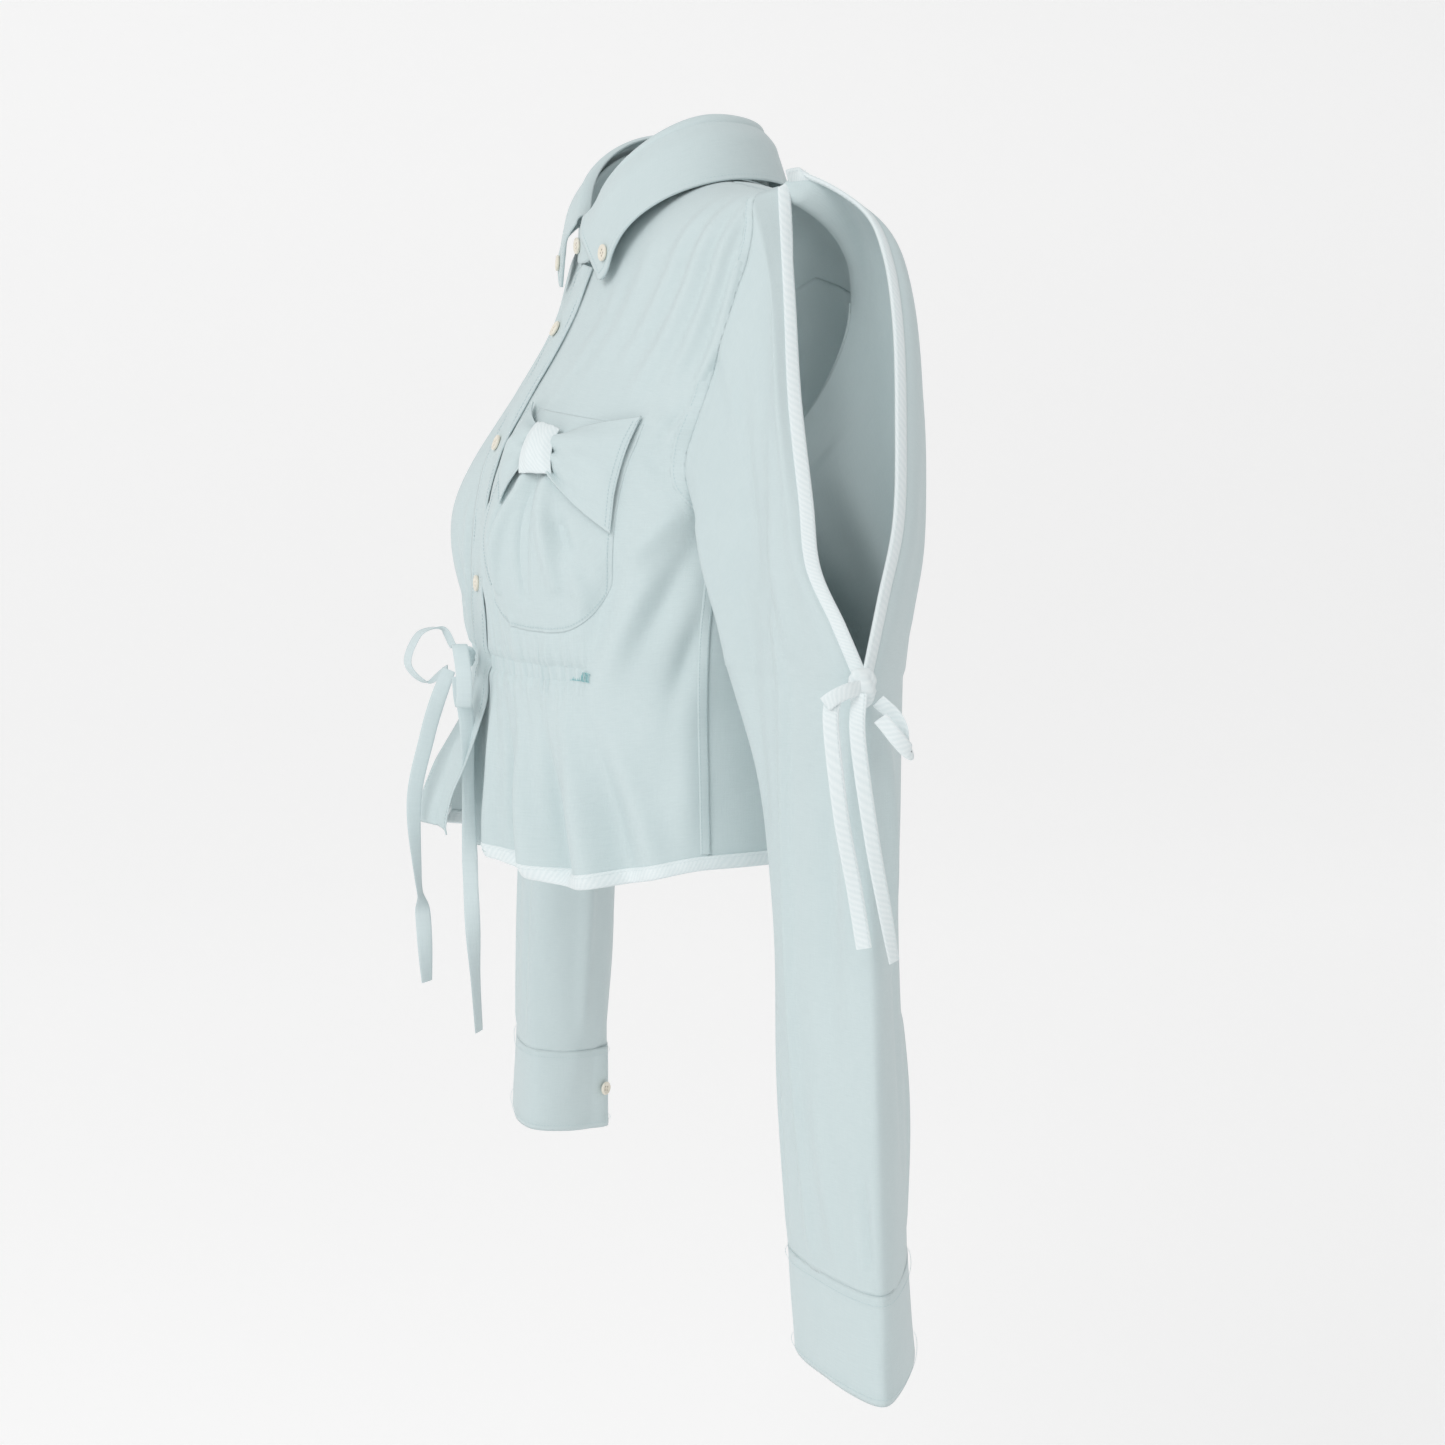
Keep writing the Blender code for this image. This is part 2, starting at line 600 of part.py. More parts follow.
def slitBinding(side, rear):
    """A bias strip that carries the cloth on past one edge of the open shoulder."""
    def surface(u, v):
        s = (6 - 5 * v) / SLEEVE_ROWS
        near = 0.9999 if rear else 0.0001
        far = 0.955 if rear else 0.045
        edge = sleevePoint(near, s)
        outward = (edge - sleevePoint(far, s)).normalized()
        share = u if rear else 1 - u
        return sided(edge + outward * (GAP + 0.0014 + BINDING_WIDTH * share), side)
    return surface


def cuffSurface(side, low, high):
    def surface(u, v):
        return sided(sectionPoint(u, low + (high - low) * v), side)
    return surface


def cuffNormal(side, c, height):
    ahead = sectionPoint(c + 0.01, height) - sectionPoint(c - 0.01, height)
    normal = Vector((-ahead.y, ahead.x, 0)).normalized()
    return Vector((side * normal.x, normal.y, 0))


def mirrored(points, side):
    return [tuple(sided(point, side)) for point in points]


def buildSleeves():
    for side, name in ((1, "left"), (-1, "right")):
        turned = side < 0
        sheet("sleeve_" + name, 22, SLEEVE_ROWS, sleeveSurface(side), "cloth", flip=turned)
        sheet("slit_binding_front_" + name, 1, 5, slitBinding(side, False), "binding",
              thickness=0.0012, flip=turned)
        sheet("slit_binding_rear_" + name, 1, 5, slitBinding(side, True), "binding",
              thickness=0.0012, flip=turned)
        sheet("cuff_outer_" + name, 22, 2, cuffSurface(side, CUFF_BOTTOM, CUFF_TOP - 0.0006),
              "cloth", flip=turned)
        sheet("cuff_interlining_" + name, 22, 1,
              cuffSurface(side, CUFF_BOTTOM + 0.002, CUFF_TOP - 0.002),
              "lining", out=-0.0014, thickness=0.0005, flip=turned)
        sheet("cuff_inner_" + name, 22, 1,
              cuffSurface(side, CUFF_BOTTOM + 0.001, CUFF_TOP - 0.002), "cloth", out=-0.0030, flip=turned)
        height = (CUFF_TOP + CUFF_BOTTOM) / 2
        place = sectionPoint(0.66, height)
        normal = cuffNormal(side, 0.66, height)
        face = sided(place, side) + normal * (CLOTH + 0.0030)
        button("cuff_button_" + name, face, normal)
        knot = sided(SLEEVE_KNOT, side)
        softBlock("sleeve_tie_knot_" + name, knot, (0.0060, 0.0100, 0.0110), "binding", 0.002)
        ribbon("sleeve_tie_loop_" + name, mirrored(SLEEVE_LOOP, side), SLEEVE_RIBBON, "binding",
               (0.05, -0.35, 0.9), thickness=0.0010)
        cordTube("sleeve_tail_a_" + name, mirrored(SLEEVE_TAIL_A, side), "binding")
        cordTube("sleeve_tail_b_" + name, mirrored(SLEEVE_TAIL_B, side), "binding")


# --- pocket and its bow ---

def pocketSurface(u, v):
    angle = POCKET_ANGLES[0] + (POCKET_ANGLES[1] - POCKET_ANGLES[0]) * u
    low, high = POCKET_LEVELS
    belly = abs(2 * u - 1) ** 3.2 * 0.030
    return skin(angle, low + belly + (high - low - belly) * v)


def bowWing(front):
    """One half of the bow: pinched at the knot, full height at the pocket's edge."""
    def surface(u, v):
        reach = 1 - u if front else u
        start = BOW_KNOT[0] + (-2.2 if front else 2.2)
        end = POCKET_ANGLES[0] + 0.5 if front else POCKET_ANGLES[1] - 0.5
        angle = start + (end - start) * reach
        half = BOW_KNOT_HALF + (BOW_HALF_HEIGHT - BOW_KNOT_HALF) * math.sin(reach * math.pi / 2)
        puff = 0.005 * (1 - reach) + 0.002
        middle = BOW_KNOT[1] - (0.0 if front else 0.012 * reach)
        flat = skin(angle, middle + half * (2 * v - 1))
        normal = (skin(angle + 1, middle) - skin(angle - 1, middle)).cross(
            skin(angle, middle + 0.002) - skin(angle, middle - 0.002)).normalized()
        return flat + normal * puff
    return surface


def buildPocket():
    sheet("chest_pocket", 9, 8, pocketSurface, "cloth", out=0.0026, thickness=0.0008)
    sheet("pocket_bow_front_wing", 5, 6, bowWing(True), "cloth", out=0.0028, thickness=0.0010)
    sheet("pocket_bow_rear_wing", 9, 6, bowWing(False), "cloth", out=0.0028, thickness=0.0010)
    middle = skin(BOW_KNOT[0], BOW_KNOT[1])
    normal = (skin(BOW_KNOT[0] + 1, BOW_KNOT[1]) - skin(BOW_KNOT[0] - 1, BOW_KNOT[1])).cross(
        Vector((0, 0, 1))).normalized()
    knot = softBlock("pocket_bow_knot", (0, 0, 0), (0.011, 0.022, 0.004), "cloth", 0.0014)
    knot.rotation_mode = "QUATERNION"
    knot.rotation_quaternion = Vector((0, 0, 1)).rotation_difference(normal)
    knot.location = middle + normal * 0.0132


# --- waist tie and buttons ---

def buildTie():
    softBlock("waist_tie_knot", WAIST_KNOT, (0.014, 0.0085, 0.012), "cloth", 0.0025)
    ribbon("waist_tie_loop_a", WAIST_LOOP_A, WAIST_RIBBON, "cloth", (1.0, 0.3, 0.1))
    ribbon("waist_tie_loop_b", WAIST_LOOP_B, WAIST_RIBBON, "cloth", (0.2, 1.0, 0.0))
    cordTube("waist_tail_a", WAIST_TAIL_A, "cloth", 21)
    cordTube("waist_tail_b", WAIST_TAIL_B, "cloth", 21)


def buildButtons():
    for index, height in enumerate((-0.081, -0.152, -0.239)):
        low = -0.43
        high = -0.02
        for _ in range(40):
            level = (low + high) / 2
            if skin(1e-6, level).z < height:
                low = level
            else:
                high = level
        ahead = skin(1e-6, level + 0.004) - skin(1e-6, level - 0.004)
        normal = Vector((1, 0, 0)).cross(ahead).normalized()
        button(f"front_button_{index + 1}", skin(1e-6, level) + normal * 0.0034, normal)
    low = standSurface(0.985, 0.5)
    ahead = standSurface(0.985, 0.9) - standSurface(0.985, 0.1)
    normal = Vector((1, 0, 0)).cross(ahead).normalized()
    button("neck_button", low + normal * 0.0016, normal)
    for side, name in ((1, "left"), (-1, "right")):
        surface = fallSurface(0.0020)
        near = (6.0 + 8.5) / 348.0
        u = near if side > 0 else 1 - near
        here = surface(u, 0.80)
        du = surface(min(u + 0.01, 1.0), 0.80) - surface(max(u - 0.01, 0.0), 0.80)
        dv = surface(u, 0.9) - surface(u, 0.7)
        normal = du.cross(dv).normalized()
        if normal.y > 0:
            normal = -normal
        button("collar_button_" + name, here + normal * 0.0010, normal)


def main():
    clearScene()
    buildPanels()
    buildSeams()
    buildCollar()
    buildSleeves()
    buildPocket()
    buildTie()
    buildButtons()


main()
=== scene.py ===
import math

import bmesh
import bpy
import numpy as np
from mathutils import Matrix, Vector


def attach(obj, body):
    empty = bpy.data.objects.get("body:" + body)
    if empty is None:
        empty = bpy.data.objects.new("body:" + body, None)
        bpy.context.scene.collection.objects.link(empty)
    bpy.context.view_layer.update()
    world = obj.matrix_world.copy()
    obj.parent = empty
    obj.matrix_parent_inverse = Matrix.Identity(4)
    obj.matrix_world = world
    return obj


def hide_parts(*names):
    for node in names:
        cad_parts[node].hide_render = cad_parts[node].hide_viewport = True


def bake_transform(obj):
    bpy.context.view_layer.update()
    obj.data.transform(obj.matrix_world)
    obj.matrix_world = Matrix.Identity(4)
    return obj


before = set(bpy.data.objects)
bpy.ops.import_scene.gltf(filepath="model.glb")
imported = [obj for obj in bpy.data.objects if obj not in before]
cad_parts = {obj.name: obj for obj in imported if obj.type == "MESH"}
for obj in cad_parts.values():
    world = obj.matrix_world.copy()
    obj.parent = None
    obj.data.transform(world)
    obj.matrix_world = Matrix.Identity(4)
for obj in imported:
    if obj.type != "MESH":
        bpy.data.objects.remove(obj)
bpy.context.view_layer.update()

# A cropped shirt with a tied waist and open shoulders, hanging as it is worn.
# Metres, +Z up. The wearer faces -Y and the wearer's left is +X.

# --- camera, stage and lights ---

studio = {
    "cameraAt": (1.43658, -0.43253, -0.12319),
    "lookAt": (0.010, 0.031, -0.334),
    "lens": 57.3,
    "floor": -1.30,
    "backdrop": (0.74, 0.74, 0.74),
    "backdropGlow": 0.345,
    "sky": 0.58,
    "keyAt": (1.7, -2.6, 1.6), "keySize": 2.2, "keyPower": 50.0,
    "fillAt": (2.6, 0.4, 0.7), "fillSize": 1.6, "fillPower": 7.0,
}


def aim(thing, place, target):
    thing.location = place
    thing.rotation_mode = "QUATERNION"
    thing.rotation_quaternion = (Vector(target) - Vector(place)).to_track_quat("-Z", "Y")
    bpy.context.scene.collection.objects.link(thing)


def addLight(name, place, size, power):
    lamp = bpy.data.lights.new(name, "AREA")
    lamp.size = size
    lamp.energy = power
    aim(bpy.data.objects.new(name, lamp), place, studio["lookAt"])


camera = bpy.data.objects.new("camera", bpy.data.cameras.new("camera"))
camera.data.lens = studio["lens"]
camera.data.clip_start = 0.05
aim(camera, studio["cameraAt"], studio["lookAt"])
bpy.context.scene.camera = camera
bpy.context.scene.view_settings.view_transform = "Standard"

world = bpy.data.worlds.new("studioAir")
world.use_nodes = True
world.node_tree.nodes["Background"].inputs["Color"].default_value = (1.0, 1.0, 1.0, 1.0)
world.node_tree.nodes["Background"].inputs["Strength"].default_value = studio["sky"]
bpy.context.scene.world = world
addLight("key", studio["keyAt"], studio["keySize"], studio["keyPower"])
addLight("fill", studio["fillAt"], studio["fillSize"], studio["fillPower"])


# --- shader maths ---

class Term:
    # a socket that can be added, multiplied and so on
    def __init__(self, paint, socket):
        self.paint = paint
        self.socket = socket

    def maths(self, operation, *parts):
        return self.paint.node("ShaderNodeMath", {"operation": operation}, dict(enumerate(parts)))

    def __add__(self, other):
        return self.maths("ADD", self, other)

    def __radd__(self, other):
        return self.maths("ADD", other, self)

    def __sub__(self, other):
        return self.maths("SUBTRACT", self, other)

    def __rsub__(self, other):
        return self.maths("SUBTRACT", other, self)

    def __mul__(self, other):
        return self.maths("MULTIPLY", self, other)

    def __rmul__(self, other):
        return self.maths("MULTIPLY", other, self)

    def sine(self):
        return self.maths("SINE", self)

    def held(self):
        return self.paint.node("ShaderNodeClamp", {}, {0: self})


class Paint:
    # one material and the nodes that make it
    def __init__(self, name):
        self.material = bpy.data.materials.new(name)
        self.material.use_nodes = True
        self.tree = self.material.node_tree
        self.shader = self.tree.nodes["Principled BSDF"]

    def node(self, kind, settings, values, out=0):
        made = self.tree.nodes.new(kind)
        for key, value in settings.items():
            setattr(made, key, value)
        for key, value in values.items():
            self.feed(made.inputs[key], value)
        return Term(self, made.outputs[out])

    def feed(self, socket, value):
        if isinstance(value, Term):
            self.tree.links.new(value.socket, socket)
        elif isinstance(value, tuple) and len(value) == 3 and socket.type == "RGBA":
            socket.default_value = (*value, 1.0)
        else:
            socket.default_value = value

    def mix(self, share, first, second):
        return self.node("ShaderNodeMix", {"data_type": "RGBA"}, {0: share, 6: first, 7: second}, 2)

    def noise(self, vector, scale, detail=2.0, rough=0.5):
        return self.node("ShaderNodeTexNoise", {"noise_dimensions": "3D"},
                         {"Vector": vector, "Scale": scale, "Detail": detail, "Roughness": rough})

    def stretched(self, vector, scale, turn=0.0):
        return self.node("ShaderNodeMapping", {"vector_type": "POINT"},
                         {"Vector": vector, "Scale": scale, "Rotation": (0.0, 0.0, turn)})

    def bump(self, height, strength, distance, before=None):
        values = {"Height": height, "Strength": strength, "Distance": distance}
        if before:
            values["Normal"] = before
        return self.node("ShaderNodeBump", {}, values)

    def finish(self, **values):
        for key, value in values.items():
            self.feed(self.shader.inputs[key.replace("_", " ")], value)
        return self.material


def weave(name, light, deep):
    # fine plain-woven cotton with uneven yarns, on the cut's own metres
    paint = Paint(name)
    cut = paint.node("ShaderNodeUVMap", {"uv_map": "cut"}, {})
    across = paint.noise(paint.stretched(cut, (90.0, 1400.0, 1.0)), 1.0, 2.0, 0.6)
    down = paint.noise(paint.stretched(cut, (1400.0, 70.0, 1.0)), 1.0, 2.0, 0.6)
    cloud = paint.noise(cut, 24.0, 3.0, 0.6)
    yarns = across * 0.55 + down * 0.35 + cloud * 0.30 - 0.14
    shade = paint.mix(yarns.held(), deep, light)
    axes = paint.node("ShaderNodeSeparateXYZ", {}, {0: cut})
    upright = paint.node("ShaderNodeSeparateXYZ", {}, {0: cut}, 1)
    pitch = 2 * math.pi / 0.00052
    grid = (axes * pitch).sine() * (upright * pitch).sine()
    soft = paint.bump(across + down, 0.35, 0.0003)
    fine = paint.bump(grid, 0.25, 0.00008, soft)
    return paint.finish(Base_Color=shade, Roughness=0.78 + 0.14 * yarns.held(), Normal=fine,
                        Sheen_Weight=0.25, Sheen_Roughness=0.45, Specular_IOR_Level=0.25)


def biasTape(name, light, deep):
    # folded bias tape: the yarns run slantwise in faint stripes
    paint = Paint(name)
    cut = paint.node("ShaderNodeUVMap", {"uv_map": "cut"}, {})
    x = paint.node("ShaderNodeSeparateXYZ", {}, {0: cut})
    y = paint.node("ShaderNodeSeparateXYZ", {}, {0: cut}, 1)
    drift = paint.noise(cut, 160.0, 2.0, 0.5)
    stripe = ((x + y * 0.9 + drift * 0.0012) * (2 * math.pi / 0.0034)).sine() * 0.5 + 0.5
    slub = paint.noise(paint.stretched(cut, (1500.0, 120.0, 1.0), 0.78), 1.0, 2.0, 0.6)
    tone = (stripe * 0.50 + slub * 0.60 - 0.05).held()
    shade = paint.mix(tone, deep, light)
    relief = paint.bump(stripe + slub, 0.30, 0.00025)
    return paint.finish(Base_Color=shade, Roughness=0.80 + 0.10 * slub, Normal=relief,
                        Sheen_Weight=0.3, Sheen_Roughness=0.45, Specular_IOR_Level=0.25)


def sewingThread(name, colour):
    paint = Paint(name)
    place = paint.node("ShaderNodeTexCoord", {}, {}, 3)
    twist = paint.noise(place, 2600.0, 1.0)
    deep = tuple(0.82 * n for n in colour)
    return paint.finish(Base_Color=paint.mix(twist, deep, colour), Roughness=0.6,
                        Normal=paint.bump(twist, 0.4, 0.0001), Sheen_Weight=0.2)


def buttonResin(name):
    # cream resin with a faint cloudy grain
    paint = Paint(name)
    place = paint.node("ShaderNodeTexCoord", {}, {}, 3)
    grain = paint.noise(paint.stretched(place, (260.0, 700.0, 260.0)), 1.0, 3.0, 0.55)
    shade = paint.mix(grain, (0.74, 0.68, 0.56), (0.90, 0.86, 0.76))
    return paint.finish(Base_Color=shade, Roughness=0.28 + 0.15 * grain, Coat_Weight=0.25,
                        Normal=paint.bump(grain, 0.1, 0.0001), Specular_IOR_Level=0.5)


finishes = {
    "cloth": weave("aquaCotton", (0.662, 0.752, 0.760), (0.548, 0.648, 0.660)),
    "tape": biasTape("stripedBias", (0.825, 0.880, 0.888), (0.72, 0.795, 0.808)),
    "ribbon": weave("ribbonCotton", (0.700, 0.785, 0.795), (0.59, 0.685, 0.70)),
    "thread": sewingThread("aquaThread", (0.56, 0.70, 0.72)),
    "whiteThread": sewingThread("paleThread", (0.78, 0.87, 0.88)),
    "tealThread": sewingThread("tealThread", (0.26, 0.56, 0.58)),
    "button": buttonResin("creamResin"),
}


def buildStage():
    # a floor that sweeps up into a backdrop behind the shirt
    sweep = bmesh.new()
    bmesh.ops.create_grid(sweep, x_segments=2, y_segments=40, size=0.5)
    for vert in sweep.verts:
        travel = (vert.co.y + 0.5) * 14.0
        bend = min(max((travel - 6.5) / 3.0, 0.0), 1.0) * math.pi / 2
        rise = max(travel - 9.5, 0.0)
        forward = min(travel, 6.5) + 1.9 * math.sin(bend)
        x = 3.2 - forward
        vert.co = (x, vert.co.x * 16.0, studio["floor"] + 1.9 * (1 - math.cos(bend)) + rise)
    bmesh.ops.recalc_face_normals(sweep, faces=sweep.faces)
    mesh = bpy.data.meshes.new("backdrop")
    sweep.to_mesh(mesh)
    sweep.free()
    mesh.shade_smooth()
    paint = Paint("paperWhite")
    mesh.materials.append(paint.finish(Base_Color=studio["backdrop"], Roughness=0.95,
                                       Emission_Color=(1.0, 1.0, 1.0),
                                       Emission_Strength=studio["backdropGlow"]))
    backdrop = bpy.data.objects.new("backdrop", mesh)
    bpy.context.scene.collection.objects.link(backdrop)


buildStage()
print("stage ready")


# --- curves through given values ---

def alongMany(places, values, at):
    # smooth values at each place, for knots that may differ from point to point
    places = np.asarray(places, float)
    at = np.asarray(at, float)
    flat = np.clip(at.ravel(), places[0], places[-1])
    values = np.asarray(values, float).reshape(len(places), -1)
    values = np.broadcast_to(values, (len(places), flat.size))
    last = len(places) - 1
    index = np.clip(np.searchsorted(places, flat, side="right") - 1, 0, last - 1)
    before = np.maximum(index - 1, 0)
    after = np.minimum(index + 2, last)
    pick = np.arange(flat.size)
    y0 = values[index, pick]
    y1 = values[index + 1, pick]
    step = places[index + 1] - places[index]
    slope0 = (y1 - values[before, pick]) / (places[index + 1] - places[before])
    slope1 = (values[after, pick] - y0) / (places[after] - places[index])
    t = (flat - places[index]) / step
    found = ((2 * t ** 3 - 3 * t ** 2 + 1) * y0 + (t ** 3 - 2 * t ** 2 + t) * step * slope0
             + (3 * t ** 2 - 2 * t ** 3) * y1 + (t ** 3 - t ** 2) * step * slope1)
    return found.reshape(at.shape)


def along(knots, at):
    return alongMany([k[0] for k in knots], [k[1] for k in knots], at)


def smooth(value):
    held = np.clip(value, 0.0, 1.0)
    return held * held * (3.0 - 2.0 * held)


def routePoints(route, t):
    places = range(len(route))
    at = np.asarray(t, float) * (len(route) - 1)
    return np.stack([alongMany(places, [p[axis] for p in route], at) for axis in range(3)], axis=-1)


def unit(vectors):
    return vectors / np.maximum(np.linalg.norm(vectors, axis=-1, keepdims=True), 1e-12)


def ripple(x, y, seed):
    # soft uneven swell between -1 and 1, the same on every run
    return (np.sin(x + 1.7 * seed) * np.cos(0.83 * y + 0.9 * seed)
            + 0.5 * np.sin(1.9 * x - 1.3 * y + 2.3 * seed)) / 1.5


# --- the body's surface, by angle round it and level ---

body = {
    "ridge": -0.004, "yoke": -0.075, "underarm": -0.19, "hem": -0.405, "waist": -0.287,
    "slope": 0.165, "shoulderX": 0.150, "shoulderRound": 0.045, "sideSeam": 86.0, "backPower": 0.8,
    "halfWidth": [(-0.43, 0.165), (-0.34, 0.156), (-0.285, 0.152), (-0.20, 0.163),
                  (-0.10, 0.165), (0.0, 0.165)],
    "centreY": [(-0.43, -0.020), (-0.285, -0.018), (-0.20, -0.014), (-0.15, -0.006), (-0.12, 0.0),
                (-0.06, 0.008), (0.0, 0.012)],
    "frontDepth": [(-0.43, 0.106), (-0.285, 0.108), (-0.20, 0.108), (-0.165, 0.105), (-0.14, 0.094),
                   (-0.106, 0.076), (-0.08, 0.067), (-0.045, 0.061), (0.0, 0.060)],
    "backDepth": [(-0.43, 0.118), (-0.34, 0.108), (-0.285, 0.105), (-0.20, 0.108), (-0.10, 0.100),
                  (-0.05, 0.085), (0.0, 0.075)],
    "frontArmhole": [(-0.19, 84.0), (-0.17, 74.0), (-0.14, 71.5), (-0.09, 72.5), (-0.06, 75.0),
                     (-0.04, 78.0), (-0.02, 77.0), (0.0, 66.0)],
    "backArmhole": [(-0.19, 84.0), (-0.17, 93.0), (-0.14, 102.0), (-0.10, 117.0), (-0.065, 131.0),
                    (-0.03, 128.0), (0.0, 116.0)],
    "hemRise": [(0.0, -0.004), (40.0, -0.011), (60.0, -0.004), (86.0, 0.006), (180.0, 0.003)],
    "bustReach": 0.020, "bustX": 0.066, "bustZ": -0.205,
    "cloth": 0.0007, "tapeWidth": 0.0085, "yokeLift": 0.0009, "yokeThick": 0.0010,
}


def roundTop(level):
    drop = np.clip((body["ridge"] - level) / body["shoulderRound"], 0.0, 1.0)
    return np.sqrt(1.0 - (1.0 - drop) ** 2)


def heightOf(level, x):
    tilt = body["slope"] * smooth((level + 0.2) / 0.1)
    return level - tilt * (np.abs(x) - body["shoulderX"])


def skin(angle, level):
    angle, level = np.broadcast_arrays(np.asarray(angle, float), np.asarray(level, float))
    turn = np.radians(np.abs(angle))
    side = np.where(angle < 0, -1.0, 1.0)
    front = turn <= math.pi / 2
    sine = np.abs(np.sin(turn))
    cosine = np.abs(np.cos(turn))
    x = along(body["halfWidth"], level) * np.where(front, sine, sine ** body["backPower"])
    z = heightOf(level, x)
    bust = body["bustReach"] * np.exp(-((x - body["bustX"]) / 0.040) ** 2
                                      - ((z - body["bustZ"]) / 0.060) ** 2)
    deep = along(body["frontDepth"], level) * roundTop(level) + bust
    behind = along(body["backDepth"], level) * roundTop(level) * cosine ** body["backPower"]
    y = along(body["centreY"], level) + np.where(front, -deep * cosine, behind)
    return np.stack((side * x, y, z), axis=-1)


def skinNormal(angle, level):
    angle = np.asarray(angle, float)
    right = np.minimum(angle + 0.4, 179.99)
    left = np.maximum(angle - 0.4, -179.99)
    du = skin(right, level) - skin(left, level)
    dv = skin(angle, level + 0.0008) - skin(angle, level - 0.0012)
    return unit(np.cross(du, dv))


# metres of cloth to a degree round the body, where folds are measured
perDegree = 0.0027

# Folds in the body cloth: from angle, level to angle, level, then how wide and how high.
frontFolds = [
    (70, -0.010, 58, -0.110, 0.0075, 0.0022), (62, -0.006, 47, -0.120, 0.0080, 0.0026),
    (53, -0.006, 38, -0.105, 0.0070, 0.0016), (74, -0.045, 66, -0.140, 0.0060, 0.0022),
    (72, -0.100, 62, -0.150, 0.0050, -0.0016), (78, -0.060, 70, -0.110, 0.0055, 0.0018),
    (70, -0.150, 56, -0.135, 0.0060, 0.0016), (68, -0.165, 57, -0.152, 0.0050, -0.0013),
    (74, -0.185, 60, -0.215, 0.0110, 0.0030), (80, -0.205, 66, -0.262, 0.0120, -0.0026),
    (57, -0.215, 50, -0.275, 0.0090, -0.0022), (66, -0.235, 54, -0.290, 0.0120, 0.0026),
    (24, -0.060, 20, -0.125, 0.0080, 0.0010), (35, -0.045, 27, -0.120, 0.0090, 0.0012),
    (13, -0.190, 12, -0.275, 0.0040, 0.0014), (19, -0.215, 17, -0.280, 0.0040, -0.0012),
    (27, -0.255, 25, -0.284, 0.0035, 0.0012), (38, -0.262, 36, -0.288, 0.0040, 0.0012),
    (83, -0.255, 76, -0.300, 0.0100, -0.0022), (80, -0.300, 79, -0.390, 0.0130, 0.0016),
]
peplumFolds = [
    (10, -0.292, 8, -0.405, 0.0070, 0.0040), (17, -0.292, 19, -0.405, 0.0060, -0.0040),
    (24, -0.292, 28, -0.405, 0.0080, 0.0050), (32, -0.294, 39, -0.405, 0.0085, -0.0050),
    (40, -0.294, 50, -0.405, 0.0110, 0.0055), (48, -0.296, 61, -0.405, 0.0120, -0.0040),
    (56, -0.310, 70, -0.405, 0.0130, 0.0022),
]
backFolds = [
    (150, -0.085, 155, -0.250, 0.0110, 0.0024), (168, -0.080, 170, -0.300, 0.0120, 0.0020),
    (128, -0.110, 140, -0.220, 0.0100, 0.0026), (112, -0.170, 128, -0.260, 0.0110, -0.0026),
    (100, -0.200, 116, -0.300, 0.0110, 0.0024), (140, -0.270, 144, -0.405, 0.0140, 0.0040),
    (120, -0.290, 122, -0.405, 0.0130, 0.0035), (165, -0.290, 164, -0.405, 0.0140, -0.0030),
    (95, -0.215, 108, -0.250, 0.0070, -0.0018),
]


# how strongly all the folds stand out
foldGain = 2.1


def foldHeight(folds, x, y, scaleX, scaleY, grow=False):
    total = np.zeros(np.broadcast(x, y).shape)
    for x0, y0, x1, y1, wide, high in folds:
        px = (x - x0) * scaleX
        py = (y - y0) * scaleY
        dx = (x1 - x0) * scaleX
        dy = (y1 - y0) * scaleY
        t = np.clip((px * dx + py * dy) / (dx * dx + dy * dy), 0.0, 1.0)
        gap = (px - t * dx) ** 2 + (py - t * dy) ** 2
        spread = wide * (0.35 + 1.0 * t) if grow else wide
        taper = smooth(t * 1.1 + 0.06) if grow else np.sin(math.pi * (0.16 + 0.70 * t))
        total = total + high * taper * np.exp(-gap / spread ** 2)
    return total * foldGain


gathers = {"from": 6.0, "to": 49.0, "groove": 0.0042, "pucker": 0.0022, "pitch": 2.35}


def bodyFolds(angle, level):
    turn = np.abs(angle)
    front = smooth((95.0 - turn) / 8.0)
    # the two fronts don't fold alike
    shifted = np.where(angle < 0, turn + 3.0, turn)
    folds = front * foldHeight(frontFolds, shifted, level, perDegree, 1.0)
    folds = folds + front * foldHeight(peplumFolds, shifted, level, perDegree, 1.0, True)
    behind = np.where(angle < 0, turn - 2.0, turn)
    folds = folds + (1 - front) * foldHeight(backFolds, behind, level, perDegree, 1.0)
    # the drawstring pulls a groove and small puckers into the fronts
    held = smooth((turn - gathers["from"] + 4.0) / 4.0) * smooth((gathers["to"] + 3.0 - turn) / 6.0)
    above = level - body["waist"]
    line = np.exp(-(above / 0.0055) ** 2)
    reach = np.exp(-np.abs(above) / 0.013) * (1 - 0.55 * line)
    comb = np.sin(2 * math.pi * turn / gathers["pitch"] + 1.6 * np.sin(turn * 0.37) + above * 30.0)
    comb = comb * (0.75 + 0.25 * np.sin(turn * 0.9 + 1.0))
    folds = folds + held * (gathers["pucker"] * comb * reach - gathers["groove"] * line)
    folds = folds + 0.0007 * ripple(angle * 0.12, level * 95.0, 1.0) * smooth((-0.02 - level) / 0.05)
    return folds * smooth((body["ridge"] + 0.002 - level) / 0.03)


flare = {"reach": 0.030, "angle": -7.0, "spread": 24.0, "lift": 0.016}


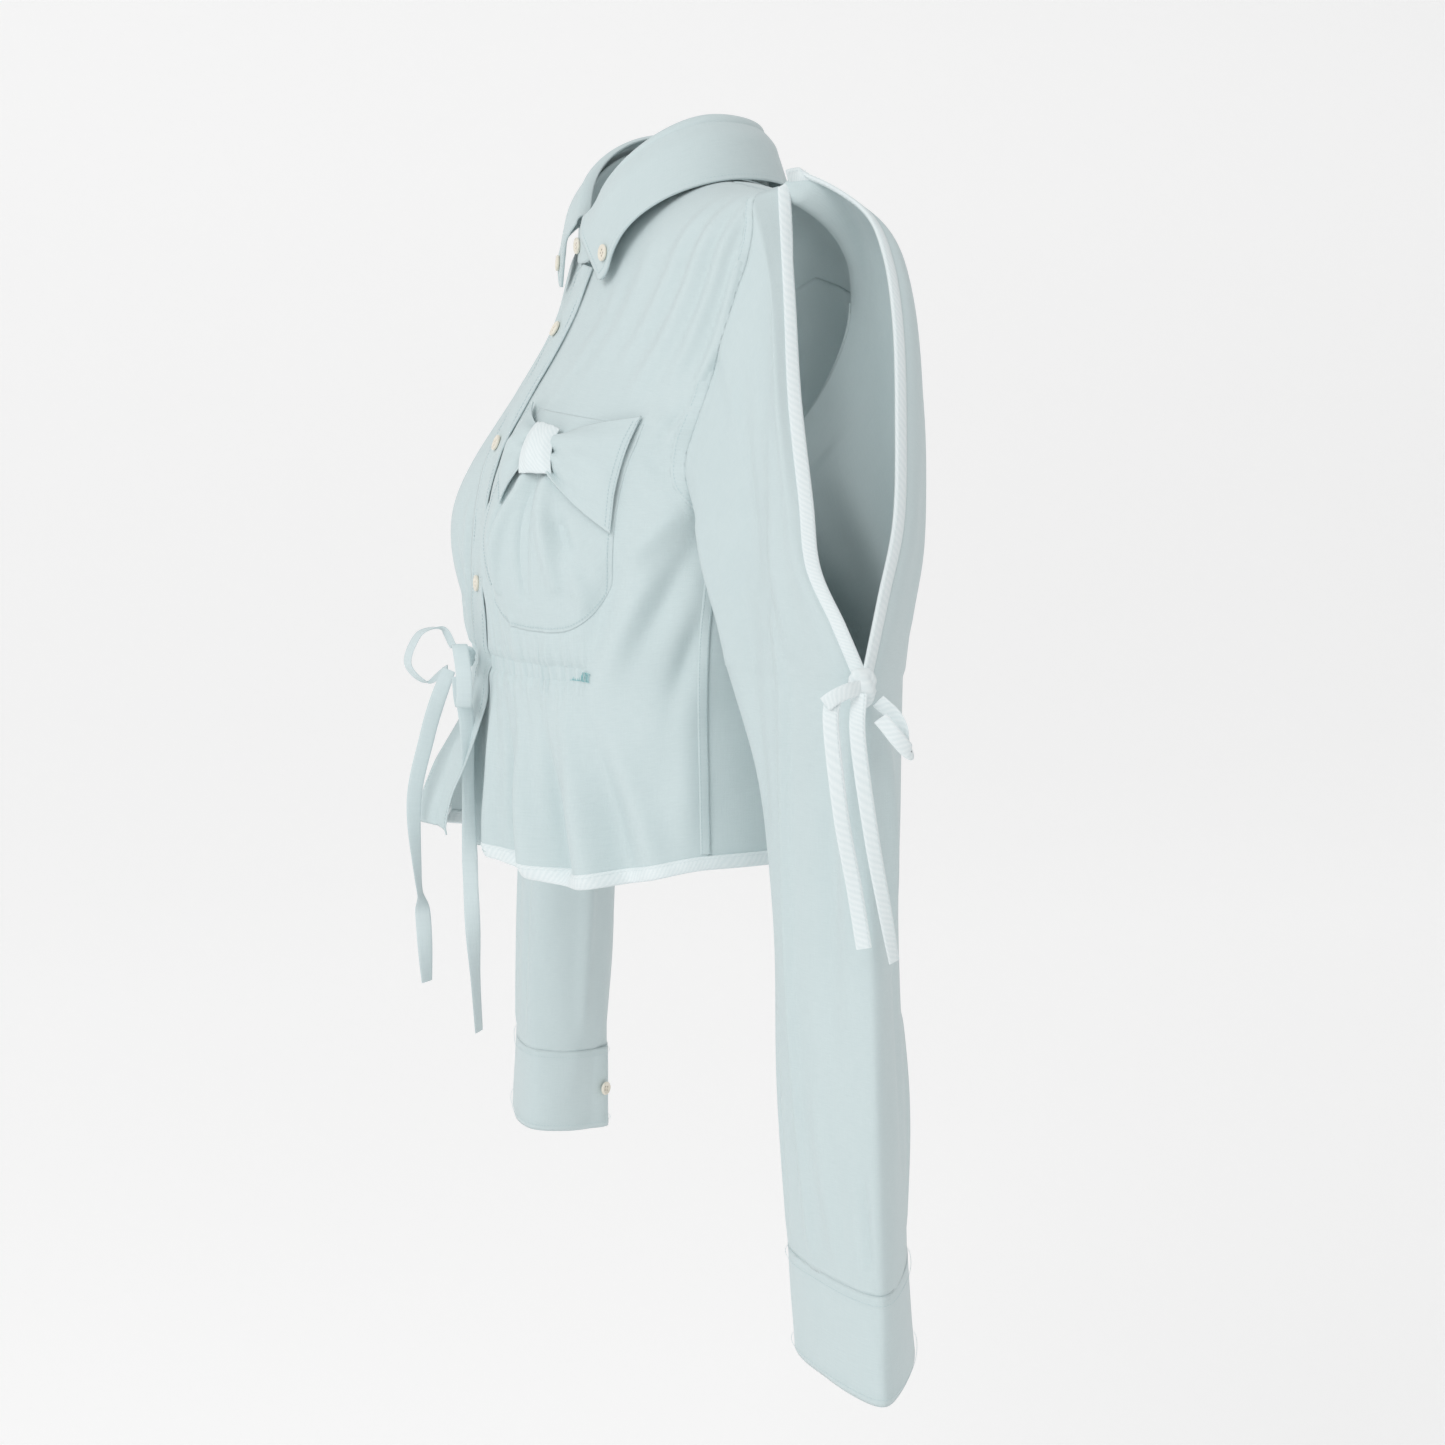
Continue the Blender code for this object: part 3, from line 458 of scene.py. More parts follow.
def bodyPlace(angle, level, out=0.0, flared=False):
    # a point of the worn cloth, out from the body; the right front's lower edge swings forward
    level = np.asarray(level, float)
    here = skin(angle, level)
    normal = skinNormal(angle, level)
    here = here + normal * (out + bodyFolds(angle, level))[..., None]
    if flared:
        drop = smooth((body["waist"] - 0.008 - level) / 0.115)
        share = drop * np.exp(-((np.asarray(angle, float) - flare["angle"]) / flare["spread"]) ** 2)
        here = here + share[..., None] * np.array((-0.004, -flare["reach"], flare["lift"]))
    return here


# --- making cloth ---

def cutLengths(points):
    # how wide and long the cloth is, measured along itself
    wide = np.linalg.norm(np.diff(points, axis=1), axis=-1).sum(axis=1).max()
    tall = np.linalg.norm(np.diff(points, axis=0), axis=-1).sum(axis=0).max()
    return max(float(wide), 1e-4), max(float(tall), 1e-4)


def cutArea(points):
    first = points[1:, 1:] - points[:-1, :-1]
    second = points[1:, :-1] - points[:-1, 1:]
    return float(np.linalg.norm(np.cross(first, second), axis=-1).sum() / 2)


def layCloth(name, points, finish, thickness=None, flip=False, merge=False):
    # a grid of cloth whose points are given row by row, with its own metres as UVs
    rows, columns = points.shape[0] - 1, points.shape[1] - 1
    wide, tall = cutLengths(points)
    cloth = bmesh.new()
    bmesh.ops.create_grid(cloth, x_segments=columns, y_segments=rows, size=0.5)
    cut = cloth.loops.layers.uv.new("cut")
    cloth.verts.ensure_lookup_table()
    spots = [(round((v.co.y + 0.5) * rows), round((v.co.x + 0.5) * columns)) for v in cloth.verts]
    for face in cloth.faces:
        for loop in face.loops:
            j, i = spots[loop.vert.index]
            loop[cut].uv = (i / columns * wide, j / rows * tall)
    for vert, (j, i) in zip(cloth.verts, spots):
        vert.co = points[j, i]
    if merge:
        bmesh.ops.remove_doubles(cloth, verts=cloth.verts, dist=0.00005)
    if flip:
        bmesh.ops.reverse_faces(cloth, faces=cloth.faces)
    return keep(name, cloth, finish, thickness)


def keep(name, made, finish, thickness=None, angle=50.0):
    mesh = bpy.data.meshes.new(name)
    made.to_mesh(mesh)
    made.free()
    mesh.shade_smooth()
    mesh.set_sharp_from_angle(angle=math.radians(angle))
    mesh.materials.append(finishes[finish])
    piece = bpy.data.objects.new(name, mesh)
    bpy.context.scene.collection.objects.link(piece)
    if thickness:
        wall = piece.modifiers.new("wall", "SOLIDIFY")
        wall.thickness = thickness
        wall.offset = 1.0
    return piece


def settle(piece, bodyName, *nodes):
    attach(piece, bodyName)
    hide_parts(*nodes)


sheetSizes = []


# the least width or length, and the share of its flat outline, that a sheet may be declared with
leastFlat = {"side": 0.0102, "share": 0.301}


def declareSheet(piece, points):
    # a strip narrower than the least width is declared at that width, not at its own
    wide, tall = (max(length, leastFlat["side"]) for length in cutLengths(points))
    area = min(max(cutArea(points), leastFlat["share"] * wide * tall), wide * tall)
    sheetSizes.append((piece.name, round(wide * 1000), round(tall * 1000), round(area * 10000)))


def grid(columns, rows):
    return np.meshgrid(np.linspace(0.0, 1.0, columns + 1), np.linspace(0.0, 1.0, rows + 1))


rightArm = {"swing": 5.5, "spread": 0.035, "axis": (0.030, -0.050)}


def sided(points, side):
    # left-hand points as they lie on their own side: the right arm hangs further forward and out
    if side > 0:
        return points
    x, y, z = points[..., 0], points[..., 1], points[..., 2]
    share = smooth((2 * (x - 0.163) - (z - body["underarm"])) / 0.2)
    turn = math.radians(rightArm["swing"]) * share
    ahead = y - rightArm["axis"][0]
    up = z - rightArm["axis"][1]
    spread = rightArm["spread"] * share * np.maximum(body["underarm"] - z, 0.0) / 0.5
    return np.stack((-x - spread, rightArm["axis"][0] + ahead * np.cos(turn) + up * np.sin(turn),
                     rightArm["axis"][1] + up * np.cos(turn) - ahead * np.sin(turn)), axis=-1)


def turnSided(directions, side):
    return directions * np.array((side, 1.0, 1.0))


# --- neckline ---

neck = {"centreY": 0.002, "radiusX": 0.067, "radiusY": 0.058, "lap": 0.014}


def neckRing(turn):
    angle = np.radians(turn)
    return neck["radiusX"] * np.sin(angle), neck["centreY"] - neck["radiusY"] * np.cos(angle)


def levelAt(x, y, back):
    low = np.full(np.shape(x), -0.14)
    high = np.full(np.shape(x), body["ridge"])
    for _ in range(40):
        level = (low + high) / 2
        width = along(body["halfWidth"], level)
        centre = along(body["centreY"], level)
        power = body["backPower"]
        behind = centre + along(body["backDepth"], level) * roundTop(level) * (
            np.maximum(1 - (np.abs(x) / width) ** (2 / power), 0.0) ** (power / 2))
        ahead = centre - along(body["frontDepth"], level) * roundTop(level) * np.sqrt(
            np.maximum(1 - (x / width) ** 2, 0.0))
        inside = np.where(back, y > behind, y < ahead)
        high = np.where(inside, level, high)
        low = np.where(inside, low, level)
    return low


def neckLevel(turn):
    x, y = neckRing(np.asarray(turn, float))
    return levelAt(x, y, y > along(body["centreY"], np.full(np.shape(y), body["ridge"])))


neckTurns = np.linspace(0.0, 98.0, 400)
neckLevels = neckLevel(neckTurns)


def neckPoint(turn):
    x, y = neckRing(np.abs(turn))
    return np.stack((np.where(turn < 0, -x, x), y, heightOf(neckLevel(np.abs(turn)), x)), axis=-1)


placket = {"half": 0.0175, "gap": 0.0004, "lift": 0.0012, "thick": 0.0011}


def frontNeckAngle(level):
    turn = np.interp(level, neckLevels, neckTurns)
    ringX = np.maximum(neckRing(turn)[0], placket["half"] + placket["gap"])
    return np.degrees(np.arcsin(ringX / along(body["halfWidth"], level)))


def rowLevel(v, low, high):
    return low + (high - low) * (0.45 * v * (2 - v) + 0.55 * np.sin(v * math.pi / 2))


# --- fronts, back and yoke ---

def sideEdge(row, armhole):
    below = body["sideSeam"] - 2.0 * smooth(1 - (body["underarm"] - row) / 0.03)
    return np.where(row > body["underarm"], along(body[armhole], row), below)


def frontParams(u, v):
    row = rowLevel(v * 0.996, body["hem"], body["ridge"])
    start = frontNeckAngle(row)
    angle = start + (sideEdge(row, "frontArmhole") - 0.1 - start) * u
    return angle, row + along(body["hemRise"], angle) * (1 - v) ** 3


def backParams(u, v):
    row = body["hem"] + (body["yoke"] + 0.006 - body["hem"]) * v
    across = 2 * u - 1
    angle = 180.0 - np.abs(across) * (180.0 - sideEdge(row, "backArmhole") - 0.1)
    level = row + along(body["hemRise"], angle) * (1 - v) ** 3
    return np.where(across > 0, -angle, angle), level


def yokeParams(u, v):
    across = 2 * u - 1
    topX = np.abs(across) * body["shoulderX"]
    ringY = neck["centreY"] + neck["radiusY"] * np.sqrt(np.maximum(1 - (topX / neck["radiusX"]) ** 2, 0.0))
    ridgeY = float(along(body["centreY"], np.array(body["ridge"])))
    cutsNeck = (topX < neck["radiusX"]) & (ringY > ridgeY + 0.001)
    top = np.where(cutsNeck, levelAt(topX, ringY, np.full(topX.shape, True)), body["ridge"])
    level = rowLevel(v * 0.996, body["yoke"], top)
    width = along(body["halfWidth"], level)
    armX = width * np.sin(np.radians(along(body["backArmhole"], level) + 0.4)) ** body["backPower"]
    turn = np.arcsin(np.minimum((np.abs(across) * armX / width) ** (1 / body["backPower"]), 1.0))
    angle = 180.0 - np.degrees(turn)
    return np.where(across > 0, -angle, angle), level


def buildPanels():
    u, v = grid(120, 190)
    angle, level = frontParams(u, v)
    left = bodyPlace(angle, level)
    right = bodyPlace(-angle, level, 0.0, True)
    for name, points, node in (("leftFront", left, "left_front_panel"),
                               ("rightFront", right, "right_front_panel")):
        piece = layCloth(name, points, "cloth", body["cloth"], flip=node[0] == "r")
        settle(piece, "root", node)
        declareSheet(piece, points)
    u, v = grid(180, 110)
    points = bodyPlace(*backParams(u, v))
    piece = layCloth("back", points, "cloth", body["cloth"], flip=True)
    settle(piece, "root", "back_panel")
    declareSheet(piece, points)
    u, v = grid(180, 40)
    angle, level = yokeParams(u, v)
    points = bodyPlace(angle, level, body["yokeLift"])
    piece = layCloth("yoke", points, "cloth", body["yokeThick"], flip=True)
    settle(piece, "root", "back_yoke")
    declareSheet(piece, points)


def stripParams(xFrom, xTo, topLevel, u, v):
    level = body["hem"] + (topLevel - body["hem"]) * v
    x = xFrom + (xTo - xFrom) * u
    angle = np.degrees(np.arcsin(x / along(body["halfWidth"], level)))
    return angle, level + body["hemRise"][0][1] * (1 - v) ** 3


def buildPlacket():
    top = float(neckLevel(np.array(10.0))) - 0.0024
    u, v = grid(10, 190)
    half = placket["half"]
    angle, level = stripParams(-half, half, top, u, v)
    points = bodyPlace(angle, level, 0.0, False)
    piece = layCloth("buttonBand", points, "cloth", body["cloth"])
    settle(piece, "root", "button_band")
    declareSheet(piece, points)
    u, v = grid(18, 260)
    angle, level = stripParams(-half, half, top, u, v)
    swell = 0.0007 * np.cos((u - 0.5) * math.pi * 0.9) + 0.00035 * ripple(u * 5.0, v * 60.0, 2.0)
    points = bodyPlace(angle, level, placket["lift"] + swell, True)
    piece = layCloth("placket", points, "cloth", placket["thick"])
    settle(piece, "root", "front_placket")
    declareSheet(piece, points)


buildPanels()
buildPlacket()
print("panels and placket laid")

# --- tapes and stitches ---

def tape(name, lower, upper, thick, finish, steps=12, square=0.55):
    # a flat closed tape between two edge lines, with soft edges
    spine = (lower + upper) / 2
    across = (upper - lower) / 2
    forward = unit(np.gradient(spine, axis=0))
    normal = unit(np.cross(forward, across))
    turn = np.linspace(0.0, 2 * math.pi, steps + 1)
    reach = np.sign(np.cos(turn)) * np.abs(np.cos(turn)) ** square
    rise = np.sign(np.sin(turn)) * np.abs(np.sin(turn)) ** 0.8 * thick / 2
    rings = spine[:, None] + across[:, None] * reach[None, :, None] + normal[:, None] * rise[None, :, None]
    ends = [np.broadcast_to(spine[k], rings[0].shape)[None] for k in (0, -1)]
    points = np.concatenate([ends[0], rings, ends[1]])
    made = layCloth(name, points, finish, merge=True)
    tidy = bmesh.new()
    tidy.from_mesh(made.data)
    bmesh.ops.recalc_face_normals(tidy, faces=tidy.faces)
    tidy.to_mesh(made.data)
    tidy.free()
    made.data.shade_smooth()
    return made


def declareTape(piece, lower, upper):
    declareSheet(piece, np.stack((lower, upper), axis=1))


stitches = {"pitch": 0.0024, "length": 0.0017, "thick": 0.00042}
sewn = {}


def runStitches(group, line, normal, pitch=None, length=None):
    # remembers one line of stitches
    pitch = pitch or stitches["pitch"]
    gaps = np.linalg.norm(np.diff(line, axis=0), axis=-1)
    travel = np.concatenate(([0.0], np.cumsum(gaps)))
    count = int(travel[-1] / pitch)
    if count < 1:
        return
    at = (np.arange(count) + 0.5) * travel[-1] / count
    place = np.stack([np.interp(at, travel, line[:, k]) for k in range(3)], axis=-1)
    ahead = np.stack([np.interp(at + 0.0004, travel, line[:, k]) for k in range(3)], axis=-1)
    behind = np.stack([np.interp(at - 0.0004, travel, line[:, k]) for k in range(3)], axis=-1)
    up = unit(np.stack([np.interp(at, travel, normal[:, k]) for k in range(3)], axis=-1))
    way = unit(ahead - behind)
    sewn.setdefault(group, []).append((place, way, up, np.full(count, length or stitches["length"])))


def tapeStitches(group, lower, upper, share, lift):
    # one line of stitches on each face of a tape
    line = lower + (upper - lower) * share
    forward = np.gradient(line, axis=0)
    normal = unit(np.cross(forward, upper - lower))
    for side in (1, -1):
        runStitches(group, line + normal * lift * side, normal * side)


def sewGroup(group, finish):
    # every stitch of a group is one small capsule, in one mesh
    place, way, up, length = (np.concatenate(part) for part in zip(*sewn[group]))
    count = len(place)
    ball = bmesh.new()
    bmesh.ops.create_uvsphere(ball, u_segments=6, v_segments=4, radius=1.0)
    one = bpy.data.meshes.new("oneStitch")
    ball.to_mesh(one)
    ball = np.array([tuple(v.co) for v in ball.verts])
    thread = bmesh.new()
    for _ in range(count):
        thread.from_mesh(one)
    bpy.data.meshes.remove(one)
    side = unit(np.cross(up, way))
    thick = stitches["thick"] / 2
    points = (place[:, None] + way[:, None] * ball[None, :, 2:3] * (length / 2)[:, None, None]
              + side[:, None] * ball[None, :, 0:1] * thick + up[:, None] * ball[None, :, 1:2] * thick)
    for vert, point in zip(thread.verts, points.reshape(-1, 3)):
        vert.co = point
    return keep(group, thread, finish)


def bodyTapeLines(angle, level, width, out, flared=False):
    return tuple(bodyPlace(angle, level + half * width, out, flared) for half in (-0.5, 0.5))


seams = {
    # the bias binding along the hem
    "bindingFrom": 6.4, "bindingOver": 0.4, "bindingDrop": 0.0006, "bindingOut": 0.0004,
    "bindingEase": 0.92, "bindingThick": 0.0027, "bindingStitches": 0.80, "bindingLift": 0.00125,
    # the felled side and armhole seams
    "sideFrom": 2.6, "sideTo": 0.7, "sideOut": 0.0010, "sideThick": 0.0011, "sideRows": (0.16, 0.84),
    "sideLift": 0.0006, "sidePitch": 0.0021, "sideLength": 0.0014,
    "armFrom": 4.4, "armTo": 0.2, "armThick": 0.0010, "armStitches": 0.20, "armLift": 0.0005,
    # the casing of the drawstring, the drawstring and the bartack at its end
    "casingSpan": (6.8, 49.0), "casingWidth": 0.014, "casingOut": -0.0012, "cordWidth": 0.0100,
    "cordOut": -0.0022, "casingThick": 0.0008, "casingPitch": 0.0022, "casingLength": 0.0015,
    "tackSpan": (43.6, 51.0), "tackReach": 0.0022, "tackRows": (-0.0032, 0.0018),
}


def sewTape(name, lower, upper, thick, finish, node, shape=(12, 0.55)):
    # a tape on the body cloth, declared as the strip that it is cut from
    piece = tape(name, lower, upper, thick, finish, *shape)
    settle(piece, "root", node)
    declareTape(piece, lower, upper)


def hemTape(name, angle, node, flared=False):
    # the binding is wrapped round the cloth's edge
    rise = along(body["hemRise"], np.abs(angle))
    low = bodyPlace(angle, body["hem"] - seams["bindingDrop"] + rise, seams["bindingOut"], flared)
    high = bodyPlace(angle, body["hem"] + body["tapeWidth"] + rise * seams["bindingEase"],
                     seams["bindingOut"], flared)
    sewTape(name, low, high, seams["bindingThick"], "tape", node)
    tapeStitches("hemStitches", low, high, seams["bindingStitches"], seams["bindingLift"])


def buildSeams():
    hem = body["hem"]
    flat = (10, 0.4)
    for side, name in ((1, "left"), (-1, "right")):
        reach = body["sideSeam"] + seams["bindingOver"] - seams["bindingFrom"]
        angle = side * (seams["bindingFrom"] + reach * np.linspace(0.0, 1.0, 150))
        hemTape(name + "HemBinding", angle, "hem_binding_front_" + name, side < 0)
        # felled side seam, a raised band with a row of stitches near each edge
        level = np.linspace(body["underarm"] - 0.004, hem + 0.009, 90)
        rise = 0.006 * (1 - smooth((level - hem) / 0.2)) ** 2
        front = bodyPlace(side * (body["sideSeam"] - seams["sideFrom"]), level + rise, seams["sideOut"])
        back = bodyPlace(side * (body["sideSeam"] + seams["sideTo"]), level + rise, seams["sideOut"])
        sewTape(name + "SideSeam", front, back, seams["sideThick"], "cloth", "side_seam_" + name,
                flat)
        for share in seams["sideRows"]:
            line = front + (back - front) * share
            normal = skinNormal(side * body["sideSeam"], level)
            runStitches("seamStitches", line + normal * seams["sideLift"], normal,
                        seams["sidePitch"], seams["sideLength"])
        # felled armhole seam on the body side
        level = np.linspace(body["underarm"] + 0.004, body["ridge"] - 0.004, 90)
        edge = along(body["frontArmhole"], level)
        pucker = 0.0009 + 0.00045 * np.sin(level * 900.0 + 2.0 * np.sin(level * 130.0))
        inner = bodyPlace(side * (edge - seams["armFrom"]), level, pucker)
        outer = bodyPlace(side * (edge + seams["armTo"]), level, pucker * 0.7)
        sewTape(name + "ArmholeSeam", inner, outer, seams["armThick"], "cloth", "armhole_seam_" + name,
                flat)
        normal = skinNormal(side * edge, level)
        share = seams["armStitches"]
        line = inner * (1 - share) + outer * share + normal * seams["armLift"]
        runStitches("armholeStitches", line, normal)
        # casing, cord and bartack of the drawstring
        turn = side * np.linspace(*seams["casingSpan"], 120)
        waist = body["waist"]
        low, high = bodyTapeLines(turn, waist, seams["casingWidth"], seams["casingOut"])
        sewTape(name + "Casing", low, high, seams["casingThick"], "cloth", "waist_casing_" + name,
                flat)
        low, high = bodyTapeLines(turn[:118], waist, seams["cordWidth"], seams["cordOut"])
        sewTape(name + "Drawstring", low, high, seams["casingThick"], "ribbon",
                "waist_drawstring_" + name, flat)
        turn = side * np.linspace(8.5, 48.0, 150)
        normal = skinNormal(turn, np.full(turn.shape, waist))
        line = bodyPlace(turn, np.full(turn.shape, waist), 0.0010)
        runStitches("casingStitches", line, normal, seams["casingPitch"], seams["casingLength"])
        turn = side * np.linspace(*seams["tackSpan"], 30)
        sway = np.sign(np.sin(np.arange(30) * math.pi / 2 + 0.7))
        zigzag = waist - 0.0008 + seams["tackReach"] * sway
        tack = "bartack" + name.capitalize()
        barLine = bodyPlace(turn, zigzag, 0.0017)
        barNormal = skinNormal(turn, np.full(turn.shape, waist))
        runStitches(tack, barLine, barNormal, 0.0009, 0.0013)
        for row in seams["tackRows"]:
            line = bodyPlace(turn, np.full(turn.shape, waist + row), 0.0016)
            runStitches(tack, line, barNormal, 0.0010, 0.0012)
        settle(sewGroup(tack, "tealThread"), "root", "casing_bartack_" + name)
    across = np.linspace(-1.0, 1.0, 260)
    angle = 180.0 - np.abs(across) * (180.0 - body["sideSeam"] - seams["bindingOver"])
    hemTape("backHemBinding", np.where(across > 0, -angle, angle), "hem_binding_back")
    # topstitching of the placket and of the yoke
    top = float(neckLevel(np.array(10.0))) - 0.003
    v = np.linspace(0.0, 1.0, 400)
    for share in (0.13, 0.87):
        turn, level = stripParams(-placket["half"], placket["half"], top, share, v)
        line = bodyPlace(turn, level, placket["lift"] + placket["thick"] + 0.0004, True)
        runStitches("placketStitches", line, skinNormal(turn, level))
    u = np.linspace(0.02, 0.98, 300)
    turn, level = yokeParams(u, np.full(u.shape, 0.05))
    line = bodyPlace(turn, level, body["yokeLift"] + body["yokeThick"] + 0.0001)
    runStitches("yokeStitches", line, skinNormal(turn, level))
    for group in ("hemStitches", "seamStitches", "armholeStitches", "casingStitches", "placketStitches",
                  "yokeStitches"):
        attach(sewGroup(group, "whiteThread" if group == "hemStitches" else "thread"), "root")


buildSeams()
print("seams sewn")


# --- collar ---

collar = {
    "standHeight": [(0, 0.022), (12, 0.023), (44, 0.027), (75, 0.029), (110, 0.030), (150, 0.030),
                    (180, 0.027)],
    "standLean": [(0, 0.0), (60, -0.09), (180, -0.14)],
    "fallDrop": [(0, 0.053), (12, 0.055), (44, 0.051), (75, 0.045), (110, 0.040), (150, 0.036),
                 (180, 0.032)],
    "fallOut": [(0, 0.45), (80, 0.55), (130, 0.38), (180, 0.12)],
    "fallThick": 0.0014, "stitchIn": 0.0048,
}


def standTop(turn):
    x, y = neckRing(np.abs(turn))
    rise = along(collar["standHeight"], np.abs(turn))
    x = np.where(turn < 0, -x, x)
    share = along(collar["standLean"], np.abs(turn))
    return neckPoint(turn) + np.stack((share * x, share * (y - neck["centreY"]), rise + 0.0015), axis=-1)


def awayFromNeck(points):
    flat = points - np.array((0.0, neck["centreY"], 0.0))
    flat = flat * np.array((1.0, 1.0, 0.0))
    return unit(flat)


def standPoints(u, v):
    lap = math.degrees(neck["lap"] / neck["radiusX"])
    turn = -lap + (358.0 + 2 * lap) * (1 - u)
    wrapped = (turn + 180.0) % 360.0 - 180.0
    outer = smooth((u - 0.80) / 0.20) * 0.0022
    wrapped = np.clip(wrapped, -179.0, 179.0)
    low = neckPoint(wrapped) + np.array((0, 0, 0.0015))
    here = low + (standTop(wrapped) - low) * v[..., None]
    return here + awayFromNeck(here) * outer[..., None]


def fallPoints(u, w, out):
    # w is 0 at the fold and 1 at the outer edge; below 0 it rolls over into the stand
    turn = 180.0 - np.abs((2 * u - 1) * 174.0)
    side = np.where(u < 0.5, 1.0, -1.0)
    fold = standTop(side * turn) + np.array((0, 0, 0.003))
    away = awayFromNeck(fold)
    v = np.maximum(w, 0.0)
    drop = along(collar["fallDrop"], turn)
    forward = smooth(1 - turn / 90.0)[..., None]
    spread = np.stack((side * 0.69, 0 * side + 0.10, 0 * side - 0.67), axis=-1) * forward
    hang = (away * along(collar["fallOut"], turn)[..., None] + np.array((0, 0, -0.93))) * (1 - forward)
    belly = 0.0055 * np.sin(np.minimum(v * 3.0, 1.0) * math.pi / 2)
    wave = 0.0007 * ripple(turn * 0.06 * side, v * 4.0, 3.0) * v
    lift = away * (0.0035 + belly + wave + out)[..., None]
    rolled = fold + lift + unit(hang + spread) * (drop * v)[..., None]
    phi = np.clip(-w, 0.0, 1.0) * math.pi * 0.75
    inward = away * ((0.0035 + out) * (np.cos(phi) - 1))[..., None]
    upward = np.stack((0 * phi, 0 * phi, (0.0030 + out) * np.sin(phi)), axis=-1)
    return rolled + inward + upward


def buildCollar():
    u, v = grid(200, 10)
    points = standPoints(u, v)
    piece = layCloth("collarStand", points, "cloth", 0.0016, flip=True)
    settle(piece, "root", "collar_stand")
    declareSheet(piece, points)
    u, w = grid(220, 46)
    w = -0.35 + 1.35 * w
    w = np.where(w < 0, w / 0.35, w)
    points = fallPoints(u, w, 0.0014)
    piece = layCloth("collarFall", points, "cloth", collar["fallThick"], flip=True)
    settle(piece, "root", "collar_fall", "collar_fall_under", "collar_interlining")
    declareSheet(piece, points)
    out = 0.0014 + collar["fallThick"] + 0.0001
    inset = collar["stitchIn"]
    # the topstitch runs down one front edge, round the outer edge and up the other
    fold, tip = (fallPoints(np.array([0.0]), np.array([w]), out) for w in (0.0, 1.0))
    tall = float(np.linalg.norm(tip - fold))
    nearU = inset / 0.44
    path = [(nearU, w) for w in np.linspace(0.02, 1 - inset / tall, 30)]
    path += [(u, 1 - inset / 0.050) for u in np.linspace(nearU, 1 - nearU, 400)[1:-1]]
    path += [(1 - nearU, w) for w in np.linspace(1 - inset / tall, 0.02, 30)]
    u = np.array([p[0] for p in path])
    w = np.array([p[1] for p in path])
    line = fallPoints(u, w, out)
    sideways = (fallPoints(np.minimum(u + 0.003, 1.0), w, out)
                - fallPoints(np.maximum(u - 0.003, 0.0), w, out))
    down = fallPoints(u, np.minimum(w + 0.02, 1.0), out) - fallPoints(u, np.maximum(w - 0.02, 0.0), out)
    normal = unit(np.cross(down, sideways))
    normal = normal * np.where((normal * awayFromNeck(line)).sum(axis=-1) < 0, -1.0, 1.0)[:, None]
    runStitches("collarStitches", line, normal)
    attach(sewGroup("collarStitches", "thread"), "root")


buildCollar()
print("collar turned")


# --- sleeves ---

sleeve = {
    "top": -0.277, "cuffTop": -0.621, "cuffBottom": -0.683, "slitReach": 0.3,
    "around": 0.40, "long": 0.69,   # its girth and length, where folds are measured
    "bendFrom": (0.163, 0.0, -0.19), "bendTo": (0.243, 0.0, -0.23),
    "cornerPlaces": (0.0, 0.22, 0.40, 0.57, 0.76),
    # height, then five corners from the outer fold past the front crease, the body side and the rear
    "sections": [
        (-0.277, (0.305, 0.014), (0.245, -0.010), (0.184, -0.022), (0.176, 0.030), (0.235, 0.064)),
        (-0.345, (0.300, 0.020), (0.238, -0.007), (0.197, -0.006), (0.184, 0.034), (0.232, 0.065)),
        (-0.42, (0.298, 0.024), (0.238, -0.004), (0.200, 0.002), (0.188, 0.036), (0.230, 0.064)),
        (-0.52, (0.298, 0.028), (0.240, 0.001), (0.200, 0.003), (0.190, 0.040), (0.228, 0.070)),
        (-0.62, (0.299, 0.032), (0.245, 0.009), (0.200, 0.011), (0.193, 0.046), (0.224, 0.075)),
        (-0.69, (0.300, 0.034), (0.246, 0.014), (0.200, 0.016), (0.195, 0.050), (0.221, 0.083)),
    ],
    "slitFront": [(0.153, 0.019, -0.001), (0.185, 0.0115, -0.067), (0.220, 0.002, -0.124),
                  (0.252, -0.003, -0.178), (0.272, -0.006, -0.213), (0.290, 0.002, -0.243),
                  (0.304, 0.010, -0.271)],
    "slitRear": [(0.154, 0.024, 0.002), (0.160, 0.042, 0.001), (0.175, 0.067, -0.018),
                 (0.187, 0.0755, -0.044), (0.205, 0.075, -0.084), (0.230, 0.067, -0.135),
                 (0.260, 0.054, -0.189), (0.285, 0.035, -0.230), (0.304, 0.018, -0.271)],
}

